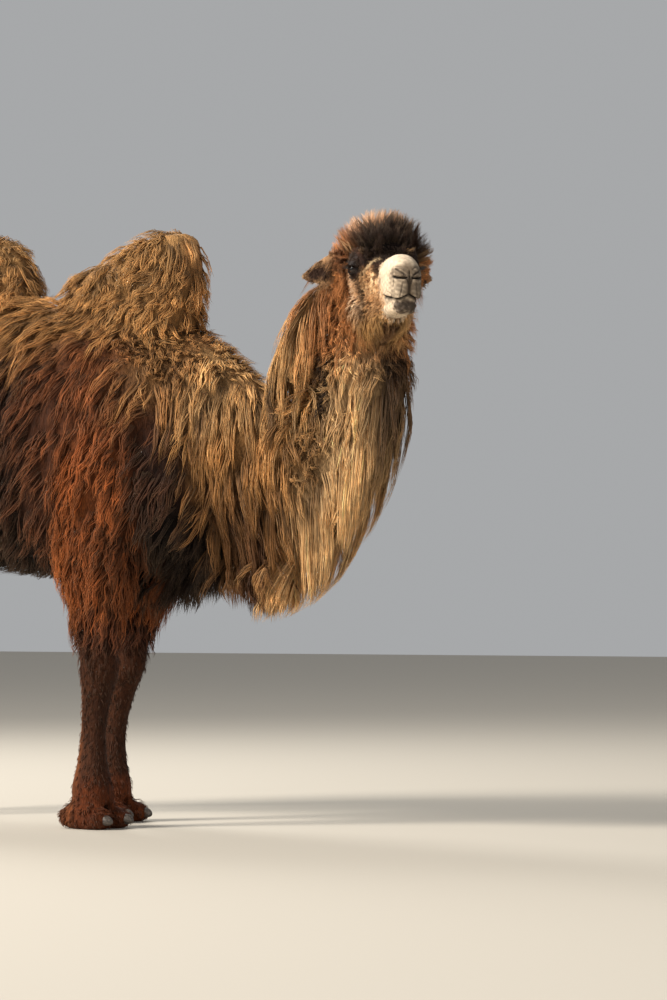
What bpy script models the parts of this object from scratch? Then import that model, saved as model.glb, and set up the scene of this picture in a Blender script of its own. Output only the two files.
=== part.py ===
"""Life-size standing bactrian camel, as still solids with the coat's true outline.

Metres, +Z up. The animal faces +X and its left is +Y. The shapes are laid out with X = 0 at the forefeet and
Y = 0 on the midline, and the last step centres the finished model on its own footprint.
"""

import math

import bmesh
import bpy
import numpy as np
from mathutils import Euler, Matrix, Vector

# Fineness of the model.
BODY_VOXEL = 0.011  # fineness of the fused body before it is thinned out
HEAD_VOXEL = 0.0055  # finer, for the muzzle, brows and ears
BODY_TRIANGLES = 3500
HEAD_TRIANGLES = 2000
PARTING = 0.0005  # width of the thin cuts between neighbouring parts
RING_SIDES = 28
RING_STEPS = 4  # rings between two stations
EYE_SEGMENTS = 14
NAIL_SEGMENTS = 8

# Stance and the head's place, which drive the rest.
SIDE_SIGN = {"right": -1.0, "left": 1.0}
FEET = {  # x of the middle of each sole and its distance from the midline
    ("fore", "right"): (-0.035, 0.165),
    ("fore", "left"): (-0.205, 0.165),
    ("hind", "right"): (-1.10, 0.165),
    ("hind", "left"): (-1.20, 0.165),
}
LEG_ROOT_X = {"fore": -0.06, "hind": -1.13}  # where a leg stands at the shoulder or hip
LEG_ROOT_Z = 1.15
HEAD_PLACE = Vector((1.11, -0.12, 1.853))  # midway between the eyes
HEAD_YAW = math.radians(-44)  # the head looks back to the animal's right
HEAD_PITCH = math.radians(-1)  # the nose is held a touch high
EYE_SPREAD = 0.095
EYE_RADIUS = 0.024
HEAD_FRAME = Matrix.Translation(HEAD_PLACE) @ Euler((0, HEAD_PITCH, HEAD_YAW), "XYZ").to_matrix().to_4x4()

# Colours of the coat and bare parts: base colour and roughness.
COAT_BROWN = ((0.20, 0.105, 0.055), 0.9)
COAT_SAND = ((0.45, 0.27, 0.13), 0.9)
COAT_RUST = ((0.27, 0.105, 0.04), 0.9)
COAT_DARK = ((0.075, 0.04, 0.025), 0.9)
EYE_BROWN = ((0.02, 0.012, 0.008), 0.12)
NAIL_HORN = ((0.10, 0.085, 0.07), 0.5)

FORWARD = (1, 0, 0)
UPWARD = (0, 0, 1)

# The body's outline at the tips of the coat. Unless a note says otherwise, a row is one station of a loft:
# x, y, z of its middle, half width across, half depth.
TRUNK = (  # x, top, bottom, half width
    (-1.34, 1.47, 1.24, 0.07),
    (-1.27, 1.585, 1.08, 0.21),
    (-1.10, 1.70, 0.97, 0.315),
    (-0.85, 1.79, 0.92, 0.37),
    (-0.55, 1.85, 0.875, 0.405),
    (-0.25, 1.855, 0.85, 0.41),
    (0.00, 1.82, 0.83, 0.385),
    (0.20, 1.735, 0.84, 0.345),
    (0.36, 1.575, 0.92, 0.265),
    (0.47, 1.42, 1.08, 0.13),
)
FRONT_HUMP = (
    (-0.03, 0.0, 1.55, 0.25, 0.30),
    (0.0, 0.0, 1.78, 0.205, 0.305),
    (0.03, 0.0, 1.885, 0.165, 0.285),
    (0.095, 0.005, 1.95, 0.14, 0.215),
    (0.145, 0.01, 2.015, 0.105, 0.135),
    (0.17, 0.01, 2.052, 0.06, 0.07),
)
REAR_HUMP = (
    (-0.66, 0.0, 1.55, 0.24, 0.34),
    (-0.65, 0.0, 1.80, 0.195, 0.28),
    (-0.635, 0.01, 1.90, 0.165, 0.22),
    (-0.63, 0.03, 1.99, 0.13, 0.17),
    (-0.635, 0.045, 2.06, 0.095, 0.115),
    (-0.64, 0.05, 2.09, 0.055, 0.06),
)
NECK = (
    (0.05, 0.0, 1.42, 0.29, 0.38),
    (0.24, 0.0, 1.36, 0.26, 0.35),
    (0.42, 0.0, 1.285, 0.215, 0.295),
    (0.60, 0.0, 1.21, 0.17, 0.25),
    (0.785, 0.0, 1.235, 0.155, 0.225),
    (0.90, 0.0, 1.375, 0.145, 0.195),
    (0.955, 0.0, 1.545, 0.145, 0.18),
    (0.98, -0.005, 1.70, 0.14, 0.17),
    (0.995, -0.015, 1.82, 0.125, 0.14),
)
NAPE_MANE = (
    (0.90, -0.01, 1.86, 0.07, 0.07),
    (0.82, -0.02, 1.77, 0.095, 0.085),
    (0.74, -0.035, 1.63, 0.105, 0.085),
    (0.70, -0.045, 1.49, 0.10, 0.08),
    (0.71, -0.05, 1.38, 0.075, 0.055),
)
TAIL = (
    (-1.26, 0.0, 1.46, 0.055, 0.06),
    (-1.36, 0.0, 1.42, 0.045, 0.05),
    (-1.415, 0.0, 1.30, 0.04, 0.04),
    (-1.425, 0.0, 1.15, 0.05, 0.04),
    (-1.42, 0.0, 1.00, 0.055, 0.042),
    (-1.41, 0.0, 0.88, 0.02, 0.015),
)
THROAT_MANE = (  # the curtain of long hair under the neck: x, root, tips, half width
    (0.33, 1.35, 1.02, 0.12),
    (0.40, 1.35, 0.78, 0.15),
    (0.52, 1.32, 0.695, 0.155),
    (0.66, 1.30, 0.72, 0.15),
    (0.80, 1.34, 0.80, 0.145),
    (0.925, 1.42, 0.93, 0.135),
    (1.03, 1.55, 1.09, 0.12),
    (1.10, 1.64, 1.26, 0.09),
    (1.14, 1.64, 1.42, 0.05),
)
CHEST_FRINGE = (  # hair under the brisket, between the forelegs: x, root, tips, half width
    (-0.17, 1.10, 0.83, 0.12),
    (-0.05, 1.12, 0.73, 0.15),
    (0.10, 1.15, 0.67, 0.16),
    (0.25, 1.20, 0.68, 0.155),
    (0.37, 1.30, 0.79, 0.13),
)

# Legs and feet, with x and y from the middle of the sole.
FORELEG = (
    (0.15, 0.045, 1.46, 0.13, 0.20),
    (0.115, 0.090, 1.26, 0.150, 0.205),
    (0.085, 0.080, 1.08, 0.140, 0.185),
    (0.065, 0.06, 0.92, 0.125, 0.17),
    (0.05, 0.03, 0.78, 0.105, 0.14),
    (0.035, 0.015, 0.655, 0.083, 0.10),
    (0.03, 0.0, 0.545, 0.078, 0.086),
    (0.015, 0.0, 0.445, 0.058, 0.062),
    (0.0, 0.0, 0.33, 0.047, 0.051),
    (-0.005, 0.0, 0.22, 0.058, 0.062),
    (-0.005, 0.0, 0.14, 0.08, 0.085),
    (0.0, 0.0, 0.085, 0.08, 0.085),
)
HINDLEG = (
    (0.10, 0.045, 1.48, 0.12, 0.22),
    (0.10, 0.07, 1.28, 0.15, 0.245),
    (0.10, 0.065, 1.10, 0.135, 0.21),
    (0.055, 0.05, 0.94, 0.11, 0.155),
    (-0.01, 0.03, 0.80, 0.082, 0.112),
    (-0.075, 0.012, 0.685, 0.068, 0.09),
    (-0.08, 0.003, 0.60, 0.06, 0.072),
    (-0.058, 0.0, 0.48, 0.048, 0.052),
    (-0.03, 0.0, 0.32, 0.043, 0.046),
    (-0.018, 0.0, 0.20, 0.054, 0.058),
    (-0.01, 0.0, 0.13, 0.072, 0.078),
    (0.0, 0.0, 0.08, 0.072, 0.078),
)
TOE_SPREAD = 0.047
TOE_LENGTH = {"fore": 0.215, "hind": 0.205}
TOE_OUTLINE = (  # along the toe, height of the middle, half width, half height
    (-0.50, 0.030, 0.026, 0.020),
    (-0.40, 0.038, 0.046, 0.040),
    (-0.15, 0.042, 0.055, 0.052),
    (0.15, 0.036, 0.055, 0.047),
    (0.38, 0.030, 0.046, 0.038),
    (0.50, 0.024, 0.028, 0.020),
)
NAIL_RADII = (0.032, 0.021, 0.020)
NAIL_LIFT = 0.030
NAIL_PLACE = 0.455  # how far along the toe from its middle, as a share of its length

# The head in its own frame: +X to the nose, +Z up, the origin midway between the eyes.
SKULL = (
    (-0.24, 0, -0.02, 0.06, 0.06),
    (-0.19, 0, -0.015, 0.10, 0.10),
    (-0.10, 0, -0.015, 0.112, 0.115),
    (-0.02, 0, -0.028, 0.112, 0.108),
    (0.05, 0, -0.048, 0.088, 0.098),
    (0.11, 0, -0.060, 0.066, 0.090),
    (0.17, 0, -0.062, 0.055, 0.092),
    (0.23, 0, -0.062, 0.054, 0.089),
    (0.28, 0, -0.070, 0.053, 0.074),
    (0.315, 0, -0.086, 0.045, 0.049),
    (0.332, 0, -0.093, 0.026, 0.024),
)
LOWER_JAW = (
    (-0.14, 0, -0.115, 0.085, 0.075),
    (-0.05, 0, -0.145, 0.082, 0.065),
    (0.04, 0, -0.148, 0.060, 0.050),
    (0.13, 0, -0.144, 0.048, 0.040),
    (0.21, 0, -0.144, 0.045, 0.033),
    (0.265, 0, -0.145, 0.042, 0.029),
    (0.30, 0, -0.145, 0.030, 0.023),
)
TOPKNOT = (
    (-0.24, 0.006, 0.02, 0.08, 0.07),
    (-0.20, 0.010, 0.035, 0.135, 0.125),
    (-0.13, 0.012, 0.05, 0.158, 0.150),
    (-0.05, 0.012, 0.08, 0.148, 0.118),
    (0.01, 0.010, 0.094, 0.12, 0.083),
    (0.05, 0.006, 0.085, 0.09, 0.055),
    (0.08, 0.003, 0.070, 0.045, 0.025),
)
CHEEK_FUR = (
    (-0.22, 0, -0.08, 0.10, 0.09),
    (-0.15, 0, -0.115, 0.135, 0.125),
    (-0.06, 0, -0.13, 0.125, 0.12),
    (0.03, 0, -0.145, 0.095, 0.095),
    (0.11, 0, -0.155, 0.06, 0.065),
    (0.17, 0, -0.155, 0.035, 0.04),
)
EAR = (  # half height and half thickness
    (-0.13, 0.105, 0.010, 0.036, 0.020),
    (-0.155, 0.145, 0.004, 0.043, 0.026),
    (-0.185, 0.187, 0.000, 0.030, 0.020),
    (-0.207, 0.217, -0.004, 0.015, 0.011),
    (-0.215, 0.230, -0.005, 0.007, 0.005),
)
EAR_REACH = {"right": 1.0, "left": 0.93}  # the left ear is laid back a little
EAR_ROOM = ((-0.19, 0.22, -0.005), (0.09, 0.06, 0.06))  # the box that parts an ear from the head
SOFT_PARTS = (  # rounded forms on both sides of the head: middle and radii
    ((0.0, 0.083, 0.012), (0.046, 0.028, 0.036)),  # eye socket's rim
    ((0.285, 0.032, -0.045), (0.030, 0.020, 0.022)),  # nostril
    ((0.288, 0.021, -0.109), (0.036, 0.027, 0.031)),  # half of the split upper lip
)

# Boxes that part the body: middle and tilt, then half size.
TAIL_CUT = (((-1.445, 0, 1.175), 0), (0.10, 0.09, 0.33))
NECK_UPPER_CUT = (((1.272, 0, 1.335), -20.5), (0.60, 0.50, 0.90))
NECK_LOWER_CUT = (((0.969, 0, 1.121), 3.7), (0.60, 0.50, 0.80))
FRONT_HUMP_CUT = (((0.135, 0, 2.06), 0), (0.465, 0.50, 0.25))
REAR_HUMP_CUT = (((-0.70, 0, 2.06), 0), (0.50, 0.50, 0.25))
FOOT_TOP = 0.125
FOOT_ROOM = (0.17, 0.14)
SHIN_ROOM = (0.25, 0.14)
THIGH_HALF_WIDTH = 0.20
KNEE_Z = {"fore": 0.60, "hind": 0.75}
THIGH_TOP = {"fore": 1.13, "hind": 1.18}
THIGH_AHEAD = {"fore": 0.06, "hind": 0.10}
THIGH_REACH = {"fore": 0.24, "hind": 0.27}
THIGH_Y = 0.30
HEAD_CUT = ((1.159, 0, 2.079), 20.3)  # middle and tilt of the box that holds the head
HEAD_CUT_SIZE = (0.60, 0.60, 0.50)


def clear_scene():
    for obj in list(bpy.data.objects):
        bpy.data.objects.remove(obj, do_unlink=True)


def material(name, look):
    colour, roughness = look
    made = bpy.data.materials.new(name)
    made.use_nodes = True
    shader = made.node_tree.nodes["Principled BSDF"]
    shader.inputs["Base Color"].default_value = (*colour, 1.0)
    shader.inputs["Roughness"].default_value = roughness
    shader.inputs["Metallic"].default_value = 0.0
    made.diffuse_color = (*colour, 1.0)
    return made


def add_object(name, mesh):
    obj = bpy.data.objects.new(name, mesh)
    bpy.context.scene.collection.objects.link(obj)
    return obj


def smooth_rows(rows, steps):
    """Catmull-Rom curve through the rows of numbers, with some steps between each two."""
    table = np.array(rows, float)
    padded = np.vstack([2 * table[0] - table[1], table, 2 * table[-1] - table[-2]])
    found = []
    for i in range(1, len(padded) - 2):
        a, b, c, d = padded[i - 1 : i + 3]
        for t in np.arange(steps) / steps:
            bend = (2 * a - 5 * b + 4 * c - d) * t**2 + (3 * b - a - 3 * c + d) * t**3
            found.append(0.5 * (2 * b + (c - a) * t + bend))
    found.append(table[-1])
    return np.array(found)


def loft(bm, stations, taper=0.0, squareness=2.0, side_axis=(0, 1, 0), facing=None):
    """Adds a closed body to bm. A station is (x, y, z, half width along side_axis, half depth across it).

    The rings stand across the path, or face one fixed direction when it is given. taper narrows the section
    towards its upper side, and widens it below, when it is positive.
    """
    rows = smooth_rows(stations, RING_STEPS)
    centres = rows[:, :3]
    side = Vector(side_axis)
    rings = []
    for i, centre in enumerate(centres):
        ahead = Vector(centres[min(i + 1, len(rows) - 1)] - centres[max(i - 1, 0)]).normalized()
        if facing is not None:
            ahead = Vector(facing)
        across = (side - ahead * side.dot(ahead)).normalized()
        upward = ahead.cross(across).normalized()
        half_width, half_depth = np.maximum(rows[i, 3:5], 0.002)
        ring = []
        for k in range(RING_SIDES):
            angle = 2 * math.pi * k / RING_SIDES
            c, s = math.cos(angle), math.sin(angle)
            power = 2.0 / squareness
            wide = math.copysign(abs(c) ** power, c) * half_width * (1 - taper * s)
            high = math.copysign(abs(s) ** power, s) * half_depth
            ring.append(bm.verts.new(Vector(centre) + across * wide + upward * high))
        rings.append(ring)
    for low, high in zip(rings, rings[1:]):
        for k in range(RING_SIDES):
            n = (k + 1) % RING_SIDES
            bm.faces.new((low[k], low[n], high[n], high[k]))
    bm.faces.new(list(reversed(rings[0])))
    bm.faces.new(rings[-1])


def ball(bm, centre, radii, turn, segments=24, rings=14):
    """Adds an ellipsoid, turned by a rotation matrix."""
    place = Matrix.Translation(centre) @ turn.to_4x4() @ Matrix.Diagonal((*radii, 1.0))
    bmesh.ops.create_uvsphere(bm, u_segments=segments, v_segments=rings, radius=1.0, matrix=place)


def finished_mesh(obj):
    """The object's mesh with its modifiers applied; the object is removed."""
    bpy.context.view_layer.update()
    graph = bpy.context.evaluated_depsgraph_get()
    mesh = bpy.data.meshes.new_from_object(obj.evaluated_get(graph))
    bpy.data.objects.remove(obj)
    return mesh


def fused(bm, name, voxel, smoothing, triangles):
    """One closed skin round all the lofts in bm, smoothed and then thinned to about so many triangles."""
    bmesh.ops.recalc_face_normals(bm, faces=bm.faces)
    mesh = bpy.data.meshes.new(name)
    bm.to_mesh(mesh)
    bm.free()
    obj = add_object(name, mesh)
    remesh = obj.modifiers.new("fuse", "REMESH")
    remesh.mode = "VOXEL"
    remesh.voxel_size = voxel
    remesh.adaptivity = 0.0
    soften = obj.modifiers.new("soften", "SMOOTH")
    soften.factor = 0.5
    soften.iterations = smoothing
    dense = add_object(name, finished_mesh(obj))
    thin = dense.modifiers.new("thin", "DECIMATE")
    thin.ratio = triangles / (2 * len(dense.data.polygons))
    thin.use_collapse_triangulate = True
    return add_object(name, finished_mesh(dense))


def upright(outline):
    """Turns (x, top, bottom, half width) rows into stations on the midline."""
    return [(x, 0.0, (top + bottom) / 2, half, (top - bottom) / 2) for x, top, bottom, half in outline]


def leg_rows(stations, kind, side):
    """The leg's stations from its foot, leaning to its root with height."""
    foot_x, foot_y = FEET[kind, side]
    rows = []
    for x, y, z, half, deep in stations:
        lean = (LEG_ROOT_X[kind] - foot_x) * min(z / LEG_ROOT_Z, 1.0) ** 2
        rows.append((foot_x + lean + x, SIDE_SIGN[side] * (foot_y + y), z, half, deep))
    return rows


def toe_frames(kind, side):
    """Place and heading of a foot's inner and outer toes, spread a little apart."""
    sign = SIDE_SIGN[side]
    foot_x, foot_y = FEET[kind, side]
    frames = {}
    for which, outward in (("inner", -1), ("outer", 1)):
        heading = math.radians(6 * outward + 5) * sign
        middle = Vector((foot_x, sign * (foot_y + outward * TOE_SPREAD), 0.0))
        frames[which] = Matrix.Translation(middle) @ Matrix.Rotation(heading, 4, "Z")
    return frames


def add_foot(bm, kind, side):
    """Two padded toes on soles that reach a little below the floor, to be levelled later."""
    for frame in toe_frames(kind, side).values():
        rows = []
        for along, lift, half, deep in TOE_OUTLINE:
            rows.append((*(frame @ Vector((along * TOE_LENGTH[kind], 0, lift))), half, deep))
        loft(bm, rows, taper=0.12, squareness=2.6, side_axis=frame.to_3x3() @ Vector((0, 1, 0)))


def in_head(point):
    return HEAD_FRAME @ Vector(point)


def head_rows(stations, sign=1.0):
    rows = []
    for x, y, z, half, deep in stations:
        rows.append((*in_head((x, sign * y, z)), half, deep))
    return rows


def add_jaw_fur(bm):
    loft(bm, head_rows(CHEEK_FUR), side_axis=HEAD_FRAME.to_3x3() @ Vector((0, 1, 0)))


def build_body():
    """The whole animal but its head, fused."""
    bm = bmesh.new()
    loft(bm, upright(TRUNK), taper=0.14, squareness=2.25, facing=FORWARD)
    loft(bm, FRONT_HUMP, facing=UPWARD)
    loft(bm, REAR_HUMP, facing=UPWARD)
    loft(bm, NECK, taper=0.08)
    loft(bm, NAPE_MANE)
    loft(bm, upright(THROAT_MANE), taper=-0.45, facing=FORWARD)
    loft(bm, upright(CHEST_FRINGE), taper=-0.35, facing=FORWARD)
    loft(bm, TAIL)
    add_jaw_fur(bm)
    for side in SIDE_SIGN:
        loft(bm, leg_rows(FORELEG, "fore", side), facing=UPWARD)
        loft(bm, leg_rows(HINDLEG, "hind", side), facing=UPWARD)
        add_foot(bm, "fore", side)
        add_foot(bm, "hind", side)
    return fused(bm, "body", BODY_VOXEL, smoothing=8, triangles=BODY_TRIANGLES)


def build_head():
    """The head with the top of the neck and manes, so that both run on across the cut."""
    bm = bmesh.new()
    turn = HEAD_FRAME.to_3x3()
    side = turn @ Vector((0, 1, 0))
    loft(bm, head_rows(SKULL), taper=0.10, squareness=2.2, side_axis=side)
    loft(bm, head_rows(LOWER_JAW), taper=0.05, side_axis=side)
    loft(bm, head_rows(TOPKNOT), side_axis=side, facing=turn @ Vector(FORWARD))
    add_jaw_fur(bm)
    loft(bm, NECK[-4:], taper=0.08)
    loft(bm, NAPE_MANE[:4])
    loft(bm, upright(THROAT_MANE[-3:]), taper=-0.45, facing=FORWARD)
    for sign in SIDE_SIGN.values():
        for (x, y, z), radii in SOFT_PARTS:
            ball(bm, in_head((x, sign * y, z)), radii, turn)
    for side_name, reach in EAR_REACH.items():
        loft(bm, head_rows(EAR, SIDE_SIGN[side_name] * reach), side_axis=turn @ Vector((0, 0, 1)))
    return fused(bm, "head", HEAD_VOXEL, smoothing=6, triangles=HEAD_TRIANGLES)


def cutter_object(bm):
    mesh = bpy.data.meshes.new("cutter")
    bm.to_mesh(mesh)
    bm.free()
    obj = add_object("cutter", mesh)
    obj.hide_render = True
    obj.display_type = "WIRE"
    return obj


def box_object(frame, half_size, grow=0.0):
    """A box about the middle of a frame."""
    bm = bmesh.new()
    bmesh.ops.create_cube(bm, size=2.0)
    bm.transform(frame @ Matrix.Diagonal((*(half + grow for half in half_size), 1.0)))
    return cutter_object(bm)


def ball_object(centre, radii, turn, segments, grow=0.0):
    bm = bmesh.new()
    ball(bm, centre, [radius + grow for radius in radii], turn, segments=segments, rings=segments // 2)
    return cutter_object(bm)


def combined(obj, cutter, operation):
    """A new object from a Boolean of obj and the cutter, which are both removed."""
    step = obj.modifiers.new("combine", "BOOLEAN")
    step.operation = operation
    step.solver = "EXACT"
    step.object = cutter
    made = add_object("part", finished_mesh(obj))
    bpy.data.objects.remove(cutter)
    return made


def carve(body, frame, half_size):
    """Takes the part inside a box off the body. Returns the part and what is left."""
    copy = add_object("part", body.data.copy())
    part = combined(copy, box_object(frame, half_size), "INTERSECT")
    rest = combined(body, box_object(frame, half_size, grow=PARTING), "DIFFERENCE")
    return part, rest


def tilted(centre, degrees=0):
    """A frame at the centre, tilted nose down about the Y axis."""
    return Matrix.Translation(centre) @ Matrix.Rotation(math.radians(degrees), 4, "Y")


def body_cuts():
    """(name, frame, half size) of the boxes that part the body, outermost first."""
    cuts = [
        ("tail", tilted(*TAIL_CUT[0]), TAIL_CUT[1]),
        ("neck_upper", tilted(*NECK_UPPER_CUT[0]), NECK_UPPER_CUT[1]),
        ("neck_lower", tilted(*NECK_LOWER_CUT[0]), NECK_LOWER_CUT[1]),
        ("hump_front", tilted(*FRONT_HUMP_CUT[0]), FRONT_HUMP_CUT[1]),
        ("hump_rear", tilted(*REAR_HUMP_CUT[0]), REAR_HUMP_CUT[1]),
    ]
    for (kind, side), (foot_x, foot_y) in FEET.items():
        sign = SIDE_SIGN[side]
        knee, top = KNEE_Z[kind] / 2, THIGH_TOP[kind] / 2
        thigh_x = foot_x + THIGH_AHEAD[kind]
        thigh = tilted((thigh_x, sign * THIGH_Y, top))
        cuts.append((f"{kind}foot_{side}", tilted((foot_x, sign * foot_y, 0)), (*FOOT_ROOM, FOOT_TOP)))
        cuts.append((f"{kind}leg_{side}_lower", tilted((foot_x, sign * foot_y, knee)), (*SHIN_ROOM, knee)))
        cuts.append((f"{kind}leg_{side}_upper", thigh, (THIGH_REACH[kind], THIGH_HALF_WIDTH, top)))
    return cuts


def add_eyes(parts):
    """Eyeballs, each in a socket that clears it all round."""
    turn = HEAD_FRAME.to_3x3()
    for side, sign in SIDE_SIGN.items():
        centre = in_head((0, sign * EYE_SPREAD, 0))
        radii = [EYE_RADIUS] * 3
        socket = ball_object(centre, radii, turn, EYE_SEGMENTS, grow=PARTING)
        parts["head"] = combined(parts["head"], socket, "DIFFERENCE")
        eye = ball_object(centre, radii, turn, EYE_SEGMENTS)
        eye.hide_render = False
        eye.display_type = "TEXTURED"
        parts[f"eye_{side}"] = eye


def add_nails(parts):
    """A horny nail at the tip of each toe, let into the foot."""
    for kind, side in FEET:
        foot = f"{kind}foot_{side}"
        for which, frame in toe_frames(kind, side).items():
            centre = frame @ Vector((NAIL_PLACE * TOE_LENGTH[kind], 0, NAIL_LIFT))
            turn = frame.to_3x3()
            bed = ball_object(centre, NAIL_RADII, turn, NAIL_SEGMENTS, grow=PARTING)
            parts[foot] = combined(parts[foot], bed, "DIFFERENCE")
            nail = ball_object(centre, NAIL_RADII, turn, NAIL_SEGMENTS)
            nail.hide_render = False
            nail.display_type = "TEXTURED"
            parts[f"toenail_{kind}_{side}_{which}"] = nail


def look_of(name):
    if name.startswith("eye"):
        return "eye", EYE_BROWN
    if name.startswith("toenail"):
        return "horn", NAIL_HORN
    if name.startswith(("hump", "neck", "head", "ear")):
        return "sandy coat", COAT_SAND
    if "upper" in name:
        return "rusty coat", COAT_RUST
    if "leg" in name or "foot" in name or name == "tail":
        return "dark coat", COAT_DARK
    return "brown coat", COAT_BROWN


def centre_on_footprint(parts):
    """Moves everything so that the origin is under the middle of the model's bounding box."""
    corners = np.array([v.co for obj in parts.values() for v in obj.data.vertices])
    low, high = corners.min(0), corners.max(0)
    shift = Matrix.Translation((-(low[0] + high[0]) / 2, -(low[1] + high[1]) / 2, 0))
    for obj in parts.values():
        obj.data.transform(shift)
        obj.data.update()


def main():
    clear_scene()
    # Whatever is below the floor goes, which leaves level soles.
    body = combined(build_body(), box_object(tilted((0, 0, 1.5)), (3, 3, 1.5)), "INTERSECT")
    parts = {}
    for name, frame, half_size in body_cuts():
        parts[name], body = carve(body, frame, half_size)
    parts["trunk"] = body
    head_room = box_object(tilted(*HEAD_CUT), HEAD_CUT_SIZE, grow=PARTING)
    parts["neck_upper"] = combined(parts["neck_upper"], head_room, "DIFFERENCE")
    head = combined(build_head(), box_object(tilted(*HEAD_CUT), HEAD_CUT_SIZE), "INTERSECT")
    (ear_x, ear_y, ear_z), ear_size = EAR_ROOM
    for side, sign in SIDE_SIGN.items():
        ear_frame = HEAD_FRAME @ Matrix.Translation((ear_x, sign * ear_y, ear_z))
        parts[f"ear_{side}"], head = carve(head, ear_frame, ear_size)
    parts["head"] = head
    add_eyes(parts)
    add_nails(parts)
    for name, obj in parts.items():
        obj.name = name
        obj.data.name = name
        obj.data.materials.clear()
        obj.data.materials.append(material(f"{name} {look_of(name)[0]}", look_of(name)[1]))
    centre_on_footprint(parts)


if __name__ == "__main__":
    main()
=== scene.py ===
import math
from functools import partial

import bmesh
import bpy
import numpy as np
from mathutils import Euler, Matrix, Vector
from mathutils.bvhtree import BVHTree


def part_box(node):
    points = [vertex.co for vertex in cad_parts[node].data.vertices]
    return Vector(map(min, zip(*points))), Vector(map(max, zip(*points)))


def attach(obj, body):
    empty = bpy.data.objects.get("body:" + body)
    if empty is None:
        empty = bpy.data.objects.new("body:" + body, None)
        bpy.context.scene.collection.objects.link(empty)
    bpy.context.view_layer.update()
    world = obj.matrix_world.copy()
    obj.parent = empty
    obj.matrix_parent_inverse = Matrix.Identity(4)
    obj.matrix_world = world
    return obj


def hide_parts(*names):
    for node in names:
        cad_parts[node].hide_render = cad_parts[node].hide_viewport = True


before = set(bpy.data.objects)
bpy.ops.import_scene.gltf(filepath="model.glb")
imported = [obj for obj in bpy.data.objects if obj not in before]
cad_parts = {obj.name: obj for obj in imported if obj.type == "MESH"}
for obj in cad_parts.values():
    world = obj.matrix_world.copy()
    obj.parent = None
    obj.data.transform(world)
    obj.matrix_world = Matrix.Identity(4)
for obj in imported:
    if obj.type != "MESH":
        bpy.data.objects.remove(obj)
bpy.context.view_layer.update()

# A life-size two-humped camel in its winter coat, in metres: +Z up, nose end towards +X, its left to +Y.


def hexColour(code):
    # sRGB hex to linear values
    parts = [int(code[i:i + 2], 16) / 255 for i in (1, 3, 5)]
    return np.array([c / 12.92 if c <= 0.04045 else ((c + 0.055) / 1.055) ** 2.4 for c in parts])


def unit(vectors):
    return vectors / np.maximum(np.linalg.norm(vectors, axis=-1, keepdims=True), 1e-9)


def dots(a, b):
    return (a * b).sum(-1, keepdims=True)


def soft(value, start, end):
    # smooth step from 0 at start to 1 at end, either way round
    t = np.clip((value - start) / (end - start), 0, 1)
    return t * t * (3 - 2 * t)


def addNode(tree, kind, settings=None, inputs=None):
    # a node with its settings, and values or links for its inputs
    node = tree.nodes.new(kind)
    for name, value in (settings or {}).items():
        setattr(node, name, value)
    for name, value in (inputs or {}).items():
        if isinstance(value, bpy.types.NodeSocket):
            tree.links.new(value, node.inputs[name])
        else:
            node.inputs[name].default_value = value
    return node


def newMaterial(name, finish):
    # a material with uniform values on its shader's own sockets; also its tree and its shader's inputs
    made = bpy.data.materials.new(name)
    made.use_nodes = True
    inputs = made.node_tree.nodes["Principled BSDF"].inputs
    for socket, value in finish.items():
        inputs[socket].default_value = value
    return made, made.node_tree, inputs


def maths(tree, operation, *values):
    return addNode(tree, "ShaderNodeMath", {"operation": operation}, dict(enumerate(values))).outputs[0]


def spread(tree, value, *limits):
    # a value's range, low and high, brought to another low and high
    return addNode(tree, "ShaderNodeMapRange", inputs=dict(enumerate((value, *limits)))).outputs[0]


def noise(tree, place, scale, detail=2.0, distortion=0.0):
    values = {"Vector": place, "Scale": scale, "Detail": detail, "Distortion": distortion}
    return addNode(tree, "ShaderNodeTexNoise", inputs=values).outputs[0]


def objectPlace(tree, scales=None):
    # places in the model's metres, or stretched by three scales
    place = addNode(tree, "ShaderNodeTexCoord").outputs["Object"]
    if scales is None:
        return place
    return addNode(tree, "ShaderNodeMapping", inputs={"Vector": place, "Scale": scales}).outputs[0]


def ownColour(tree, name):
    return addNode(tree, "ShaderNodeAttribute", {"attribute_name": name}).outputs["Color"]


def ownValue(tree, name):
    return addNode(tree, "ShaderNodeAttribute", {"attribute_name": name}).outputs["Fac"]


def addObject(name, mesh):
    made = bpy.data.objects.new(name, mesh)
    bpy.context.scene.collection.objects.link(made)
    return made


def evaluatedMesh(thing):
    # the object's mesh with its modifiers applied; the object goes
    bpy.context.view_layer.update()
    graph = bpy.context.evaluated_depsgraph_get()
    mesh = bpy.data.meshes.new_from_object(thing.evaluated_get(graph))
    bpy.data.objects.remove(thing)
    return mesh


def pointsOf(mesh):
    flat = np.empty(len(mesh.vertices) * 3)
    mesh.vertices.foreach_get("co", flat)
    return flat.reshape(-1, 3)


def normalsOf(mesh):
    flat = np.empty(len(mesh.vertices) * 3)
    mesh.vertices.foreach_get("normal", flat)
    return flat.reshape(-1, 3)


def setPoints(mesh, points):
    mesh.vertices.foreach_set("co", np.ascontiguousarray(points, dtype=np.float32).ravel())
    mesh.update()


def triangleMesh(name, points, triangles):
    # a mesh from arrays of points and triangles
    mesh = bpy.data.meshes.new(name)
    mesh.vertices.add(len(points))
    mesh.vertices.foreach_set("co", np.ascontiguousarray(points, dtype=np.float32).ravel())
    mesh.loops.add(len(triangles) * 3)
    mesh.loops.foreach_set("vertex_index", np.ascontiguousarray(triangles, dtype=np.int32).ravel())
    mesh.polygons.add(len(triangles))
    mesh.polygons.foreach_set("loop_start", np.arange(0, len(triangles) * 3, 3, dtype=np.int32))
    mesh.update(calc_edges=True)
    mesh.polygons.foreach_set("use_smooth", np.ones(len(triangles), dtype=bool))
    return mesh


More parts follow.
